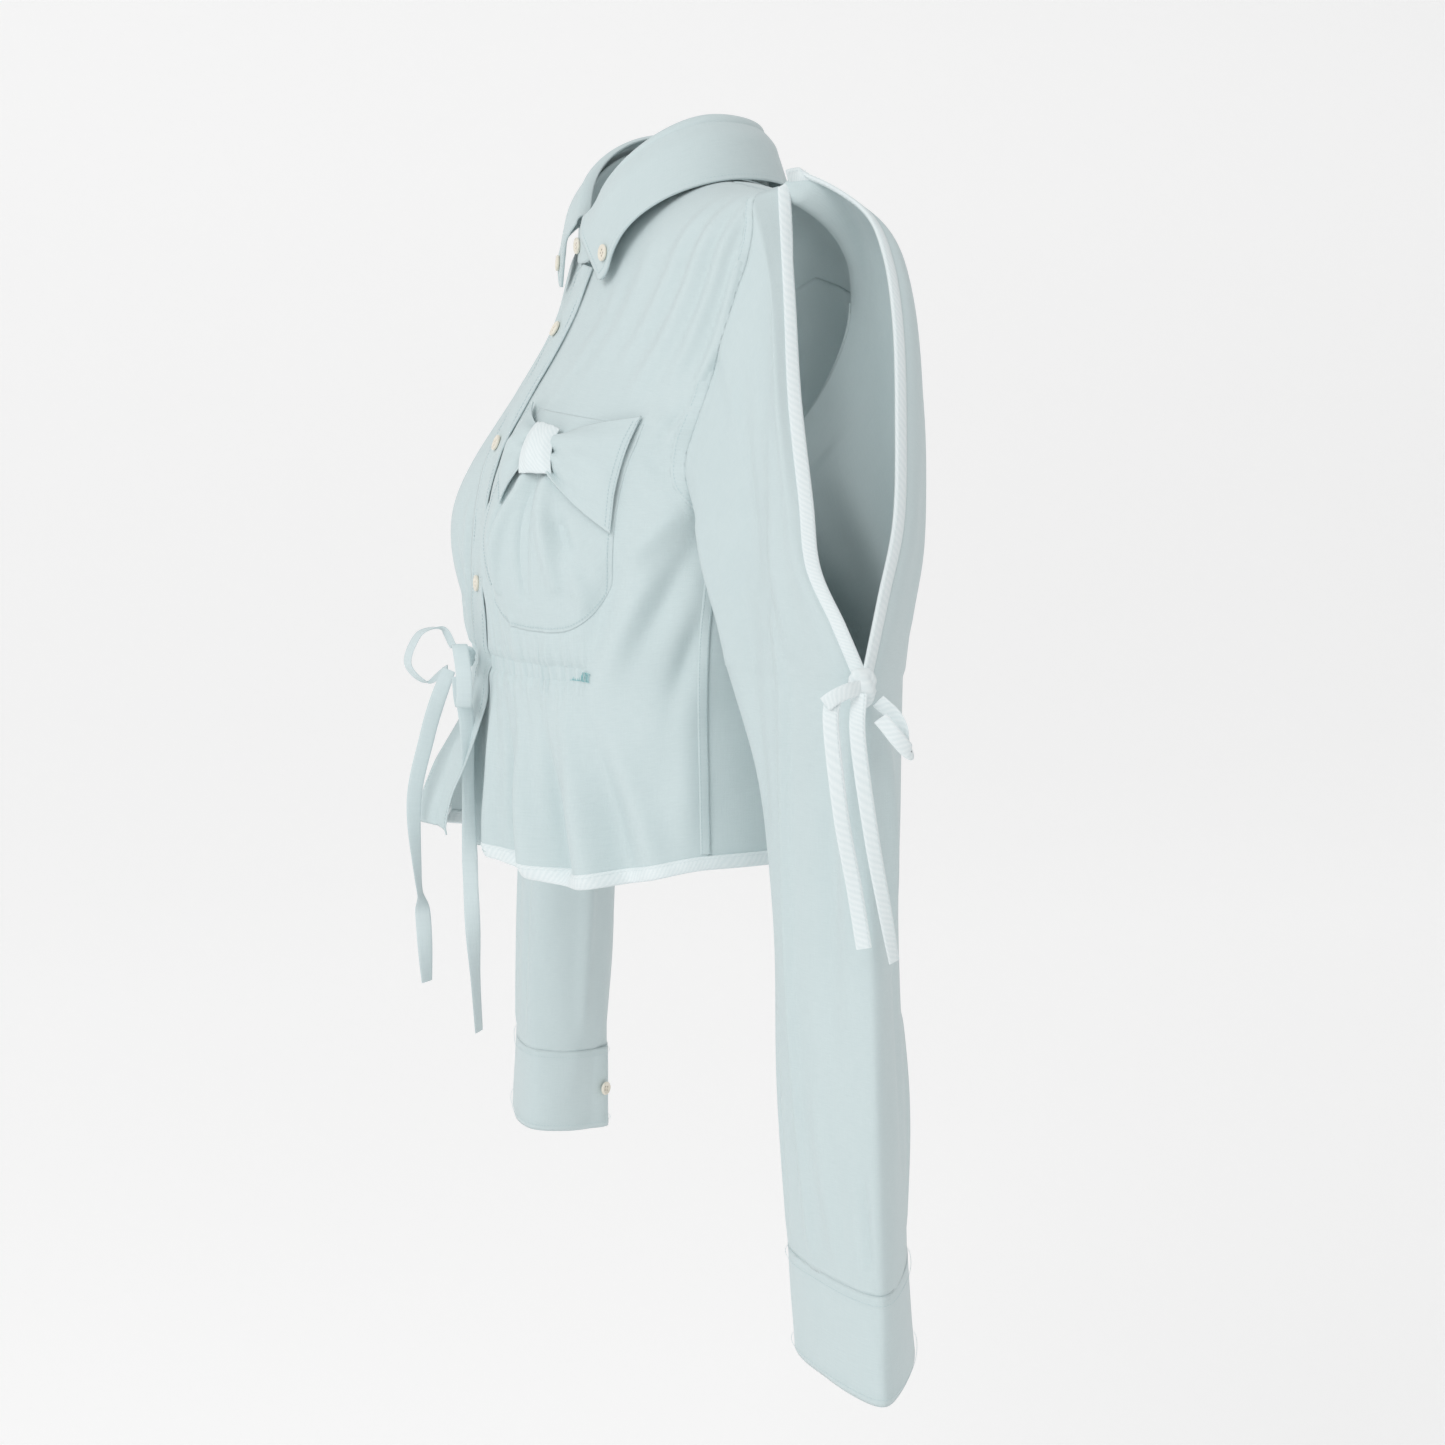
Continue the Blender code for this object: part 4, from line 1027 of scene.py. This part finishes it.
# Folds in a sleeve: from place round it and place down it, then how wide and how high.
sleeveFolds = [
    (0.22, 0.40, 0.22, 0.98, 0.0060, 0.0020), (0.10, 0.54, 0.12, 0.80, 0.0100, -0.0020),
    (0.04, 0.53, 0.08, 0.70, 0.0070, 0.0016), (0.93, 0.54, 0.90, 0.72, 0.0080, 0.0022),
    (0.87, 0.56, 0.86, 0.90, 0.0100, -0.0018), (0.30, 0.28, 0.31, 0.62, 0.0110, -0.0022),
    (0.14, 0.18, 0.18, 0.45, 0.0120, 0.0020), (0.40, 0.14, 0.37, 0.48, 0.0100, 0.0022),
    (0.22, 0.10, 0.26, 0.34, 0.0090, -0.0018), (0.46, 0.08, 0.44, 0.40, 0.0090, -0.0022),
    (0.60, 0.10, 0.64, 0.45, 0.0120, 0.0028), (0.70, 0.12, 0.76, 0.44, 0.0110, -0.0026),
    (0.82, 0.12, 0.86, 0.44, 0.0110, 0.0020), (0.16, 0.84, 0.14, 0.99, 0.0070, 0.0014),
    (0.06, 0.90, 0.05, 0.99, 0.0060, -0.0016), (0.33, 0.80, 0.34, 0.98, 0.0080, -0.0014),
    (0.56, 0.60, 0.58, 0.96, 0.0120, 0.0024), (0.78, 0.80, 0.77, 0.99, 0.0080, 0.0018),
]


def sectionPoint(c, height):
    c, height = np.broadcast_arrays(np.asarray(c, float), np.asarray(height, float))
    heights = [-row[0] for row in sleeve["sections"]]
    places = [p + lap for lap in (-1, 0, 1) for p in sleeve["cornerPlaces"]]
    found = []
    for axis in (0, 1):
        corners = [alongMany(heights, [row[k + 1][axis] for row in sleeve["sections"]], -height).ravel()
                   for k in range(5)]
        found.append(alongMany(places, np.stack(corners * 3), c))
    return np.stack((found[0], found[1], height), axis=-1)


def armLoop(c, out):
    front = c < 0.5
    travel = np.where(front, 2 * c, 2 - 2 * c)
    level = body["ridge"] + (body["underarm"] - body["ridge"]) * (1 - np.cos(math.pi * travel)) / 2
    level = np.minimum(level, body["ridge"] - 0.0002)
    angle = np.where(front, along(body["frontArmhole"], level), along(body["backArmhole"], level))
    around = skin(angle + 0.4, level) - skin(angle - 0.4, level)
    rise = skin(angle, level + 0.0001) - skin(angle, level - 0.0004)
    lift = out + bodyFolds(angle, level)
    return skin(angle, level) + unit(np.cross(around, rise)) * lift[..., None]


def upperSleeve(c, t):
    start = armLoop(c, 0.0007)
    end = sectionPoint(c, sleeve["top"])
    span = np.linalg.norm(end - start, axis=-1)[..., None]
    pull = np.array((0.55, 0.0, -0.83)) * span * 0.9
    drop = np.array((0.0, 0.0, -1.0)) * span * 0.8
    t = t[..., None]
    return ((2 * t ** 3 - 3 * t ** 2 + 1) * start + (t ** 3 - 2 * t ** 2 + t) * pull
            + (3 * t ** 2 - 2 * t ** 3) * end + (t ** 3 - t ** 2) * drop)


def sleevePoint(c, s):
    c, s = np.broadcast_arrays(np.asarray(c, float), np.asarray(s, float))
    drop = np.maximum(s - 0.5, 0) * 2
    low = sectionPoint(c, sleeve["top"] + (sleeve["cuffTop"] + 0.001 - sleeve["top"]) * drop)
    t = np.clip(s * 2, 0.0, 1.0)
    high = upperSleeve(c, t)
    for edge, endC, route in ((0.0, c, sleeve["slitFront"]), (1.0, 1 - c, sleeve["slitRear"])):
        free = smooth(t / 0.12)
        share = smooth(1 - endC / sleeve["slitReach"]) * free + smooth(1 - endC / 0.03) * (1 - free)
        high = high + (routePoints(route, t) - upperSleeve(np.full(c.shape, edge), t)) * share[..., None]
    return np.where((s < 0.5)[..., None], high, low)


def sleevePlace(c, s, out=0.0):
    c, s = np.broadcast_arrays(np.asarray(c, float), np.asarray(s, float))
    dc = sleevePoint(np.minimum(c + 0.004, 1.0), s) - sleevePoint(np.maximum(c - 0.004, 0.0), s)
    ds = sleevePoint(c, np.minimum(s + 0.005, 1.0)) - sleevePoint(c, np.maximum(s - 0.005, 0.0))
    normal = unit(np.cross(dc, ds))
    folds = foldHeight(sleeveFolds, c, s, sleeve["around"], sleeve["long"])
    folds = folds + 0.0008 * ripple(c * 22.0, s * 18.0, 4.0)
    calm = smooth(np.minimum(c, 1 - c) / 0.05) * smooth(s / 0.06) * smooth((1.0 - s) / 0.03)
    return sleevePoint(c, s) + normal * (out + folds * calm)[..., None]


def slitTape(rear):
    s = np.linspace(0.001, 0.500, 120)
    near = np.full(s.shape, 0.9999 if rear else 0.0001)
    edge = sleevePoint(near, s)
    outward = unit(edge - sleevePoint(np.full(s.shape, 0.955 if rear else 0.045), s))
    inner = edge - outward * 0.0012
    outer = edge + outward * (body["tapeWidth"] - 0.0012)
    return (inner, outer) if rear else (outer, inner)


cuff = {"thick": 0.0016, "lapStart": 0.655, "lap": 0.045, "stitchIn": 0.0046}


def cuffPoints(u, v):
    c = cuff["lapStart"] + (1.0 + cuff["lap"]) * u
    height = sleeve["cuffBottom"] + (sleeve["cuffTop"] + 0.0025 - sleeve["cuffBottom"]) * v
    here = sectionPoint(c % 1.0, height)
    dc = sectionPoint((c + 0.01) % 1.0, height) - sectionPoint((c - 0.01) % 1.0, height)
    normal = unit(np.stack((dc[..., 1], -dc[..., 0], 0 * c), axis=-1)) * -1.0
    lift = 0.0003 + 0.0022 * smooth((u - 0.93) / 0.05) + 0.0006 * ripple(u * 24.0, v * 5.0, 5.0)
    return here + normal * lift[..., None], normal


def buildSleeves():
    for side, name in ((1, "left"), (-1, "right")):
        turned = side < 0
        armBody = name + "_sleeve"
        c, s = grid(150, 170)
        points = sided(sleevePlace(c, 1 - s), side)
        piece = layCloth(name + "Sleeve", points, "cloth", body["cloth"], flip=turned, merge=True)
        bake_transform(piece)
        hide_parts("sleeve_" + name)
        declareSheet(piece, points)
        for rear, place in ((False, "Front"), (True, "Rear")):
            lower, upper = (sided(line, side) for line in slitTape(rear))
            piece = tape(name + "Slit" + place, lower, upper, 0.0028, "tape")
            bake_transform(piece)
            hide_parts("slit_binding_" + place.lower() + "_" + name)
            declareTape(piece, lower, upper)
            tapeStitches(name + "SlitStitches", lower, upper, 0.80 if rear else 0.20, 0.0013)
        u, v = grid(200, 26)
        points, normal = cuffPoints(u, v)
        points = sided(points, side)
        piece = layCloth(name + "Cuff", points, "cloth", cuff["thick"], flip=turned)
        settle(piece, armBody, "cuff_outer_" + name, "cuff_interlining_" + name, "cuff_inner_" + name)
        declareSheet(piece, points)
        tall = sleeve["cuffTop"] - sleeve["cuffBottom"]
        for v in (cuff["stitchIn"] / tall, 1 - cuff["stitchIn"] / tall):
            u = np.linspace(0.01, 0.99, 300)
            line, normal = cuffPoints(u, np.full(u.shape, v))
            line = line + normal * (cuff["thick"] + 0.0001)
            runStitches(name + "CuffStitches", sided(line, side), turnSided(normal, side))
        v = np.linspace(0.06, 0.94, 40)
        line, normal = cuffPoints(np.full(v.shape, 0.985), v)
        line = line + normal * (cuff["thick"] + 0.0001)
        runStitches(name + "CuffStitches", sided(line, side), turnSided(normal, side))
        piece = sewGroup(name + "SlitStitches", "whiteThread")
        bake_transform(piece)
        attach(sewGroup(name + "CuffStitches", "thread"), armBody)


buildSleeves()
print("sleeves set in")

# --- pocket and its bow ---

pocket = {
    "angles": (16.0, 55.5), "levels": (-0.262, -0.140), "lift": 0.0004,
    # lower and upper corner of each wing, as angle and level
    "knotRear": ((34.8, -0.169), (31.6, -0.151)), "knotFront": ((28.4, -0.167), (25.2, -0.150)),
    "rearEdge": ([(0, 55.0), (1, 54.0)], [(0, -0.201), (1, -0.136)]),
    "frontEdge": ([(0, 24.5), (0.4, 17.5), (0.6, 15.0), (1, 11.5)],
                  [(0, -0.187), (0.4, -0.168), (0.6, -0.158), (1, -0.139)]),
}

pocketFolds = [
    (29, -0.172, 24, -0.236, 0.0040, 0.0030), (32, -0.174, 33, -0.240, 0.0040, -0.0026),
    (35, -0.176, 41, -0.232, 0.0050, 0.0030), (38, -0.190, 48, -0.226, 0.0055, -0.0022),
    (27, -0.180, 20, -0.222, 0.0040, -0.0020), (44, -0.205, 49, -0.245, 0.0060, 0.0018),
]


def pocketPoints(u, v, out):
    first, last = pocket["angles"]
    low, high = pocket["levels"]
    belly = np.abs(2 * u - 1) ** 3.2 * 0.030
    angle = first + (last - first) * u
    level = low + belly + (high - low - belly) * v
    puff = 0.0030 * np.sin(math.pi * u) * np.sin(math.pi * np.clip(v, 0, 1)) ** 0.7
    hold = smooth(u / 0.08) * smooth((1 - u) / 0.08) * smooth(v / 0.10)
    folds = foldHeight(pocketFolds, angle, level, perDegree, 1.0) * hold
    return bodyPlace(angle, level, pocket["lift"] + out + puff + folds), skinNormal(angle, level)


def wingPoints(front, u, v, out):
    low, high = pocket["knotFront" if front else "knotRear"]
    angles, levels = pocket["frontEdge" if front else "rearEdge"]
    edgeAngle = along(angles, v)
    edgeLevel = along(levels, v)
    knotAngle = low[0] + (high[0] - low[0]) * v
    knotLevel = low[1] + (high[1] - low[1]) * v
    angle = knotAngle + (edgeAngle - knotAngle) * u
    level = knotLevel + (edgeLevel - knotLevel) * u ** (1.15 if front else 0.92)
    fade = np.exp(-np.maximum(u - 0.04, 0.0) / 0.38)
    creases = 0.0036 * np.cos(2 * math.pi * (2.4 * v + 0.12)) * fade * smooth(u / 0.06 + 0.3)
    creases = creases + 0.0012 * np.sin(2 * math.pi * (4.3 * v + 0.4)) * np.exp(-u / 0.16)
    long = 0.0030 * np.exp(-((v - 0.60 + 0.10 * u) / 0.11) ** 2) * smooth((0.95 - u) / 0.5)
    long = long - 0.0026 * np.exp(-((v - 0.36 - 0.05 * u) / 0.10) ** 2) * smooth((0.90 - u) / 0.5)
    belly = (0.0050 * np.sin(math.pi * np.clip(u * 0.96, 0, 1)) ** 0.8
             * np.sin(math.pi * (0.12 + 0.76 * v)) ** 0.8)
    rest = 0.0046 - 0.0024 * u
    return bodyPlace(angle, level, rest + out + belly + creases + long), skinNormal(angle, level)


def knotBandPoints(u, v, out):
    # a pinched band, wrapped over where the two wings meet
    lowAngle = 28.0 + 8.4 * u
    highAngle = 24.4 + 8.0 * u
    angle = lowAngle + (highAngle - lowAngle) * v
    level = -0.1715 + (-0.0035 + 0.0045) * u + (0.0235 - 0.002 * u) * v
    crown = np.sin(math.pi * (0.08 + 0.84 * u)) ** 0.5
    ends = np.sin(math.pi * (0.06 + 0.88 * v)) ** 0.45
    pleats = 0.00045 * np.cos(2 * math.pi * 2.5 * u)
    return bodyPlace(angle, level, 0.0030 + 0.0096 * crown * ends + pleats + out), skinNormal(angle, level)


def buildPocket():
    u, v = grid(90, 100)
    points, normal = pocketPoints(u, v, 0.0)
    bag = layCloth("chestPocket", points, "cloth", 0.0006)
    settle(bag, "root", "chest_pocket")
    declareSheet(bag, points)
    edge = [(0.035, v) for v in np.linspace(0.96, 0.05, 60)]
    edge += [(u, 0.022) for u in np.linspace(0.04, 0.96, 90)]
    edge += [(0.965, v) for v in np.linspace(0.05, 0.96, 60)]
    spots = np.array(edge)
    line, normal = pocketPoints(spots[:, 0], spots[:, 1], 0.0010)
    runStitches("pocketStitches", line, normal, 0.0022, 0.0015)
    for front, name, node in ((True, "bowFrontWing", "pocket_bow_front_wing"),
                              (False, "bowRearWing", "pocket_bow_rear_wing")):
        u, v = grid(90, 70)
        points, normal = wingPoints(front, u, v, 0.0)
        wing = layCloth(name, points, "cloth", 0.0011, flip=front)
        settle(wing, "root", node)
        declareSheet(wing, points)
        for share in (0.935, 0.985):
            v = np.linspace(0.03, 0.97, 60)
            line, normal = wingPoints(front, np.full(v.shape, share), v, 0.0013)
            runStitches("pocketStitches", line, normal, 0.0022, 0.0015)
    u, v = grid(40, 44)
    points, normal = knotBandPoints(u, v, 0.0)
    band = layCloth("bowKnotBand", points, "tape", 0.0010)
    settle(band, "root", "pocket_bow_knot")
    declareSheet(band, points)
    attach(sewGroup("pocketStitches", "thread"), "root")


buildPocket()
print("pocket tied")


# --- ribbons, loops and knots ---

ribbonAcross = np.array((0.309, 0.951, 0.0))

waistTie = {
    "knot": (0.0, -0.1385, -0.286), "width": 0.0100, "thick": 0.0012,
    "tailA": [(-0.004, -0.1480, -0.294), (-0.005, -0.1560, -0.315), (-0.005, -0.1627, -0.337),
              (-0.005, -0.1718, -0.377), (-0.005, -0.1702, -0.426), (-0.005, -0.1674, -0.453),
              (-0.005, -0.1656, -0.497)],
    "tailB": [(0.006, -0.1440, -0.300), (0.010, -0.1400, -0.325), (0.010, -0.1395, -0.377),
              (0.010, -0.1390, -0.427), (0.010, -0.1370, -0.487), (0.010, -0.1350, -0.529)],
    "loopA": [(-0.004, -0.1450, -0.279), (-0.008, -0.1515, -0.268), (-0.014, -0.1650, -0.272),
              (-0.020, -0.1715, -0.291), (-0.018, -0.1600, -0.303), (-0.012, -0.1475, -0.294)],
    "loopB": [(0.008, -0.1440, -0.279), (0.020, -0.1455, -0.277), (0.029, -0.1450, -0.296),
              (0.024, -0.1445, -0.314), (0.014, -0.1440, -0.309), (0.010, -0.1440, -0.297)],
    "acrossA": (1.0, 0.3, 0.1), "acrossB": (0.35, 1.0, 0.0),
    "twistA": [(0, 25), (0.25, -12), (0.5, -28), (0.74, -78), (0.84, -15), (1, -55)],
    "twistB": [(0, 40), (0.3, -42), (0.5, -25), (0.62, 8), (0.8, -52), (1, -68)],
}

sleeveTie = {
    "knot": (0.3135, 0.0100, -0.274), "width": 0.0085, "thick": 0.0013,
    "tailA": [(0.3160, -0.0060, -0.2765), (0.317, -0.0090, -0.291), (0.318, -0.0032, -0.341),
              (0.318, 0.0045, -0.380), (0.318, 0.0105, -0.414)],
    "tailB": [(0.3170, 0.0070, -0.2765), (0.3205, 0.0050, -0.300), (0.322, 0.0125, -0.352),
              (0.322, 0.0200, -0.390), (0.322, 0.0264, -0.4215)],
    "loop": [(0.316, 0.0180, -0.281), (0.319, 0.0270, -0.290), (0.321, 0.0330, -0.302),
             (0.325, 0.0330, -0.308), (0.326, 0.0250, -0.300), (0.3245, 0.0160, -0.289)],
    "fold": [(0.3165, 0.0085, -0.2735), (0.3195, 0.0000, -0.2745), (0.3195, -0.0075, -0.2775),
             (0.3175, -0.0125, -0.2815)],
    "twistA": [(0, 12), (0.2, 5), (0.6, -8), (1, 4)], "twistB": [(0, 20), (0.4, -10), (0.8, -30), (1, -45)],
}


def ribbonLines(route, width, across, twist, steps):
    # the two edges of a ribbon whose width turns about its own length
    t = np.linspace(0.0, 1.0, steps)
    spine = routePoints(route, t)
    forward = unit(np.gradient(spine, axis=0))
    flat = np.broadcast_to(np.asarray(across, float), spine.shape)
    flat = unit(flat - forward * (flat * forward).sum(axis=-1, keepdims=True))
    face = np.cross(forward, flat)
    turn = np.radians(along(twist, t))[:, None]
    flat = flat * np.cos(turn) + face * np.sin(turn)
    return spine - flat * width / 2, spine + flat * width / 2


def hangTail(name, route, tie, twist, finish, bodyName, node, side=1):
    lower, upper = (sided(line, side) for line in
                    ribbonLines(route, tie["width"], ribbonAcross, twist, 90))
    piece = tape(name, lower, upper, tie["thick"], finish)
    spine = (lower + upper) / 2
    settle(piece, bodyName, node)
    return lower, upper


def tieLoop(name, route, tie, across, finish, bodyName, node, side=1):
    lower, upper = (sided(line, side) for line in
                    ribbonLines(route, tie["width"], across, [(0, 0), (1, 0)], 70))
    piece = tape(name, lower, upper, tie["thick"], finish)
    settle(piece, bodyName, node)
    declareTape(piece, lower, upper)


def tieKnot(name, centre, size, finish, bodyName, node, lean):
    # a pulled lump of ribbon with one turn of ribbon drawn round it
    knot = bmesh.new()
    bmesh.ops.create_uvsphere(knot, u_segments=40, v_segments=24, radius=1.0)
    cut = knot.loops.layers.uv.new("cut")
    for face in knot.faces:
        for loop in face.loops:
            at = loop.vert.co
            loop[cut].uv = (at.x * size[0], at.z * size[2])
    for vert in knot.verts:
        at = vert.co.normalized()
        around = math.atan2(at.z, at.x)
        band = math.exp(-((at.y * 0.15 + at.x) / 0.55) ** 2)
        swell = (0.82 + 0.26 * band + 0.06 * math.sin(3 * around + 4 * at.y)
                 + 0.04 * math.sin(7 * at.z + 2 * at.x))
        vert.co = Vector([math.copysign(abs(at[k]) ** 0.75, at[k]) * size[k] * swell for k in range(3)])
        vert.co = vert.co + Vector((lean * vert.co.z, 0, 0)) + Vector(centre)
    piece = keep(name, knot, finish)
    settle(piece, bodyName, node)


def buildTies():
    for which, place in (("A", "Far"), ("B", "Near")):
        hangTail("waistTail" + place, waistTie["tail" + which], waistTie, waistTie["twist" + which],
                 "ribbon", "root", "waist_tail_" + which.lower())
    for which, place in (("A", "Far"), ("B", "Near")):
        tieLoop("waistLoop" + place, waistTie["loop" + which], waistTie, waistTie["across" + which],
                "ribbon", "root", "waist_tie_loop_" + which.lower())
    tieKnot("waistKnot", waistTie["knot"], (0.0080, 0.0062, 0.0068), "ribbon", "root",
            "waist_tie_knot", 0.2)
    for side, name in ((1, "left"), (-1, "right")):
        arm = name + "_sleeve"
        for tail, place in (("A", "Front"), ("B", "Rear")):
            lower, upper = hangTail(name + "SleeveTail" + place, sleeveTie["tail" + tail], sleeveTie,
                                    sleeveTie["twist" + tail], "tape", arm,
                                    "sleeve_tail_" + tail.lower() + "_" + name, side)
            tapeStitches(name + "TailStitches", lower, upper, 0.84, sleeveTie["thick"] / 2 + 0.0001)
        tieLoop(name + "SleeveLoop", sleeveTie["loop"], sleeveTie, (0.05, -0.35, 0.9), "tape", arm,
                "sleeve_tie_loop_" + name, side)
        pair = ribbonLines(sleeveTie["fold"], sleeveTie["width"], (0.0, -0.25, 0.95), [(0, 0), (1, 0)], 30)
        lower, upper = (sided(line, side) for line in pair)
        piece = tape(name + "SleeveFold", lower, upper, sleeveTie["thick"], "tape")
        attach(piece, arm)
        declareTape(piece, lower, upper)
        knot = sided(np.array(sleeveTie["knot"]), side)
        tieKnot(name + "SleeveKnot", tuple(knot), (0.0050, 0.0072, 0.0100), "tape", arm,
                "sleeve_tie_knot_" + name, 0.0)
        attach(sewGroup(name + "TailStitches", "whiteThread"), arm)


buildTies()
print("ties hung")


# --- buttons ---

buttonShape = {"radius": 0.0052, "thick": 0.0022, "holeOut": 0.00125, "hole": 0.00062}


def moldButton(name, place, normal, bodyName, node, spin=0.4):
    # a turned button with a raised rim, sewn on with two bars of thread; its four holes are flat dark discs
    # of painted shade
    r, t = buttonShape["radius"], buttonShape["thick"]
    profile = [(0.0, 0.70 * t), (0.50 * r, 0.70 * t), (0.64 * r, 0.80 * t), (0.76 * r, t),
               (0.90 * r, 0.98 * t), (0.98 * r, 0.78 * t), (r, 0.52 * t), (0.97 * r, 0.22 * t),
               (0.86 * r, 0.0), (0.0, 0.0)]
    disc = bmesh.new()
    verts = [disc.verts.new((x, 0.0, z)) for x, z in profile]
    edges = [disc.edges.new(pair) for pair in zip(verts[:-1], verts[1:])]
    bmesh.ops.spin(disc, geom=verts + edges, cent=(0, 0, 0), axis=(0, 0, 1), angle=2 * math.pi, steps=30,
                   use_merge=True)
    bmesh.ops.remove_doubles(disc, verts=disc.verts, dist=0.000005)
    bmesh.ops.recalc_face_normals(disc, faces=disc.faces)
    out = buttonShape["holeOut"]
    # painted shade: each hole is a flat dark disc laid on the face, not cut through the button
    for x, y in ((out, out), (-out, out), (-out, -out), (out, -out)):
        before = set(disc.faces)
        made = bmesh.ops.create_circle(disc, cap_ends=True, segments=12, radius=buttonShape["hole"])
        bmesh.ops.translate(disc, vec=(x, y, 0.70 * t + 0.00003), verts=made["verts"])
        for face in set(disc.faces) - before:
            face.material_index = 1
    for y in (out, -out):
        before = set(disc.faces)
        made = bmesh.ops.create_uvsphere(disc, u_segments=8, v_segments=6, radius=1.0)
        for vert in made["verts"]:
            vert.co = Vector((vert.co.x * out * 1.15, y + vert.co.y * 0.00028,
                              0.70 * t + vert.co.z * 0.0003))
        for face in set(disc.faces) - before:
            face.material_index = 2
    turn = Vector((0, 0, 1)).rotation_difference(Vector(normal))
    for vert in disc.verts:
        flat = Vector((vert.co.x * math.cos(spin) - vert.co.y * math.sin(spin),
                       vert.co.x * math.sin(spin) + vert.co.y * math.cos(spin), vert.co.z))
        vert.co = turn @ flat + Vector(place)
    piece = keep(name, disc, "button", angle=60.0)
    piece.data.materials.append(finishes["hole"])
    piece.data.materials.append(finishes["buttonThread"])
    settle(piece, bodyName, node)


# painted shade: a dark brown standing in for the shadow inside each button hole
finishes["hole"] = sewingThread("buttonHoleShade", (0.30, 0.25, 0.19))
finishes["buttonThread"] = sewingThread("creamThread", (0.80, 0.74, 0.62))


def buildButtons():
    levels = np.linspace(-0.40, -0.03, 1200)
    middle = np.full(levels.shape, 1e-6)
    heights = skin(middle, levels)[:, 2]
    out = placket["lift"] + placket["thick"] + 0.0008
    for index, height in enumerate((-0.081, -0.152, -0.239)):
        level = float(np.interp(height, heights, levels))
        spot = np.array([level])
        place = bodyPlace(np.array([1e-6]), spot, out, True)[0]
        normal = skinNormal(np.array([1e-6]), spot)[0]
        number = str(index + 1)
        moldButton("frontButton" + number, place, normal, "root", "front_button_" + number)
    low, mid, high = (standPoints(np.array([0.985]), np.array([v]))[0] for v in (0.1, 0.5, 0.9))
    normal = unit(np.cross(np.array((1.0, 0, 0)), high - low))
    moldButton("neckButton", mid + normal * 0.0020, normal, "root", "neck_button")
    near = (6.0 + 8.5) / 348.0
    for side, name in ((1, "left"), (-1, "right")):
        u = near if side > 0 else 1 - near
        out = 0.0014 + collar["fallThick"] + 0.0002
        here, beside, below = (fallPoints(np.array([u + du]), np.array([0.80 + dw]), out)[0]
                               for du, dw in ((0, 0), (0.008, 0), (0, 0.05)))
        normal = unit(np.cross(beside - here, below - here))
        if normal[1] > 0:
            normal = -normal
        moldButton(name + "CollarButton", here, normal, "root", "collar_button_" + name, 0.9)
        place, normal = cuffPoints(np.array([0.972]), np.array([0.5]))
        place = place[0] + normal[0] * (cuff["thick"] + 0.0002)
        moldButton(name + "CuffButton", sided(place, side), turnSided(normal[0], side), name + "_sleeve",
                   "cuff_button_" + name)


buildButtons()
for row in sheetSizes:
    print("%s cut %d x %d mm, %d cm2" % row)
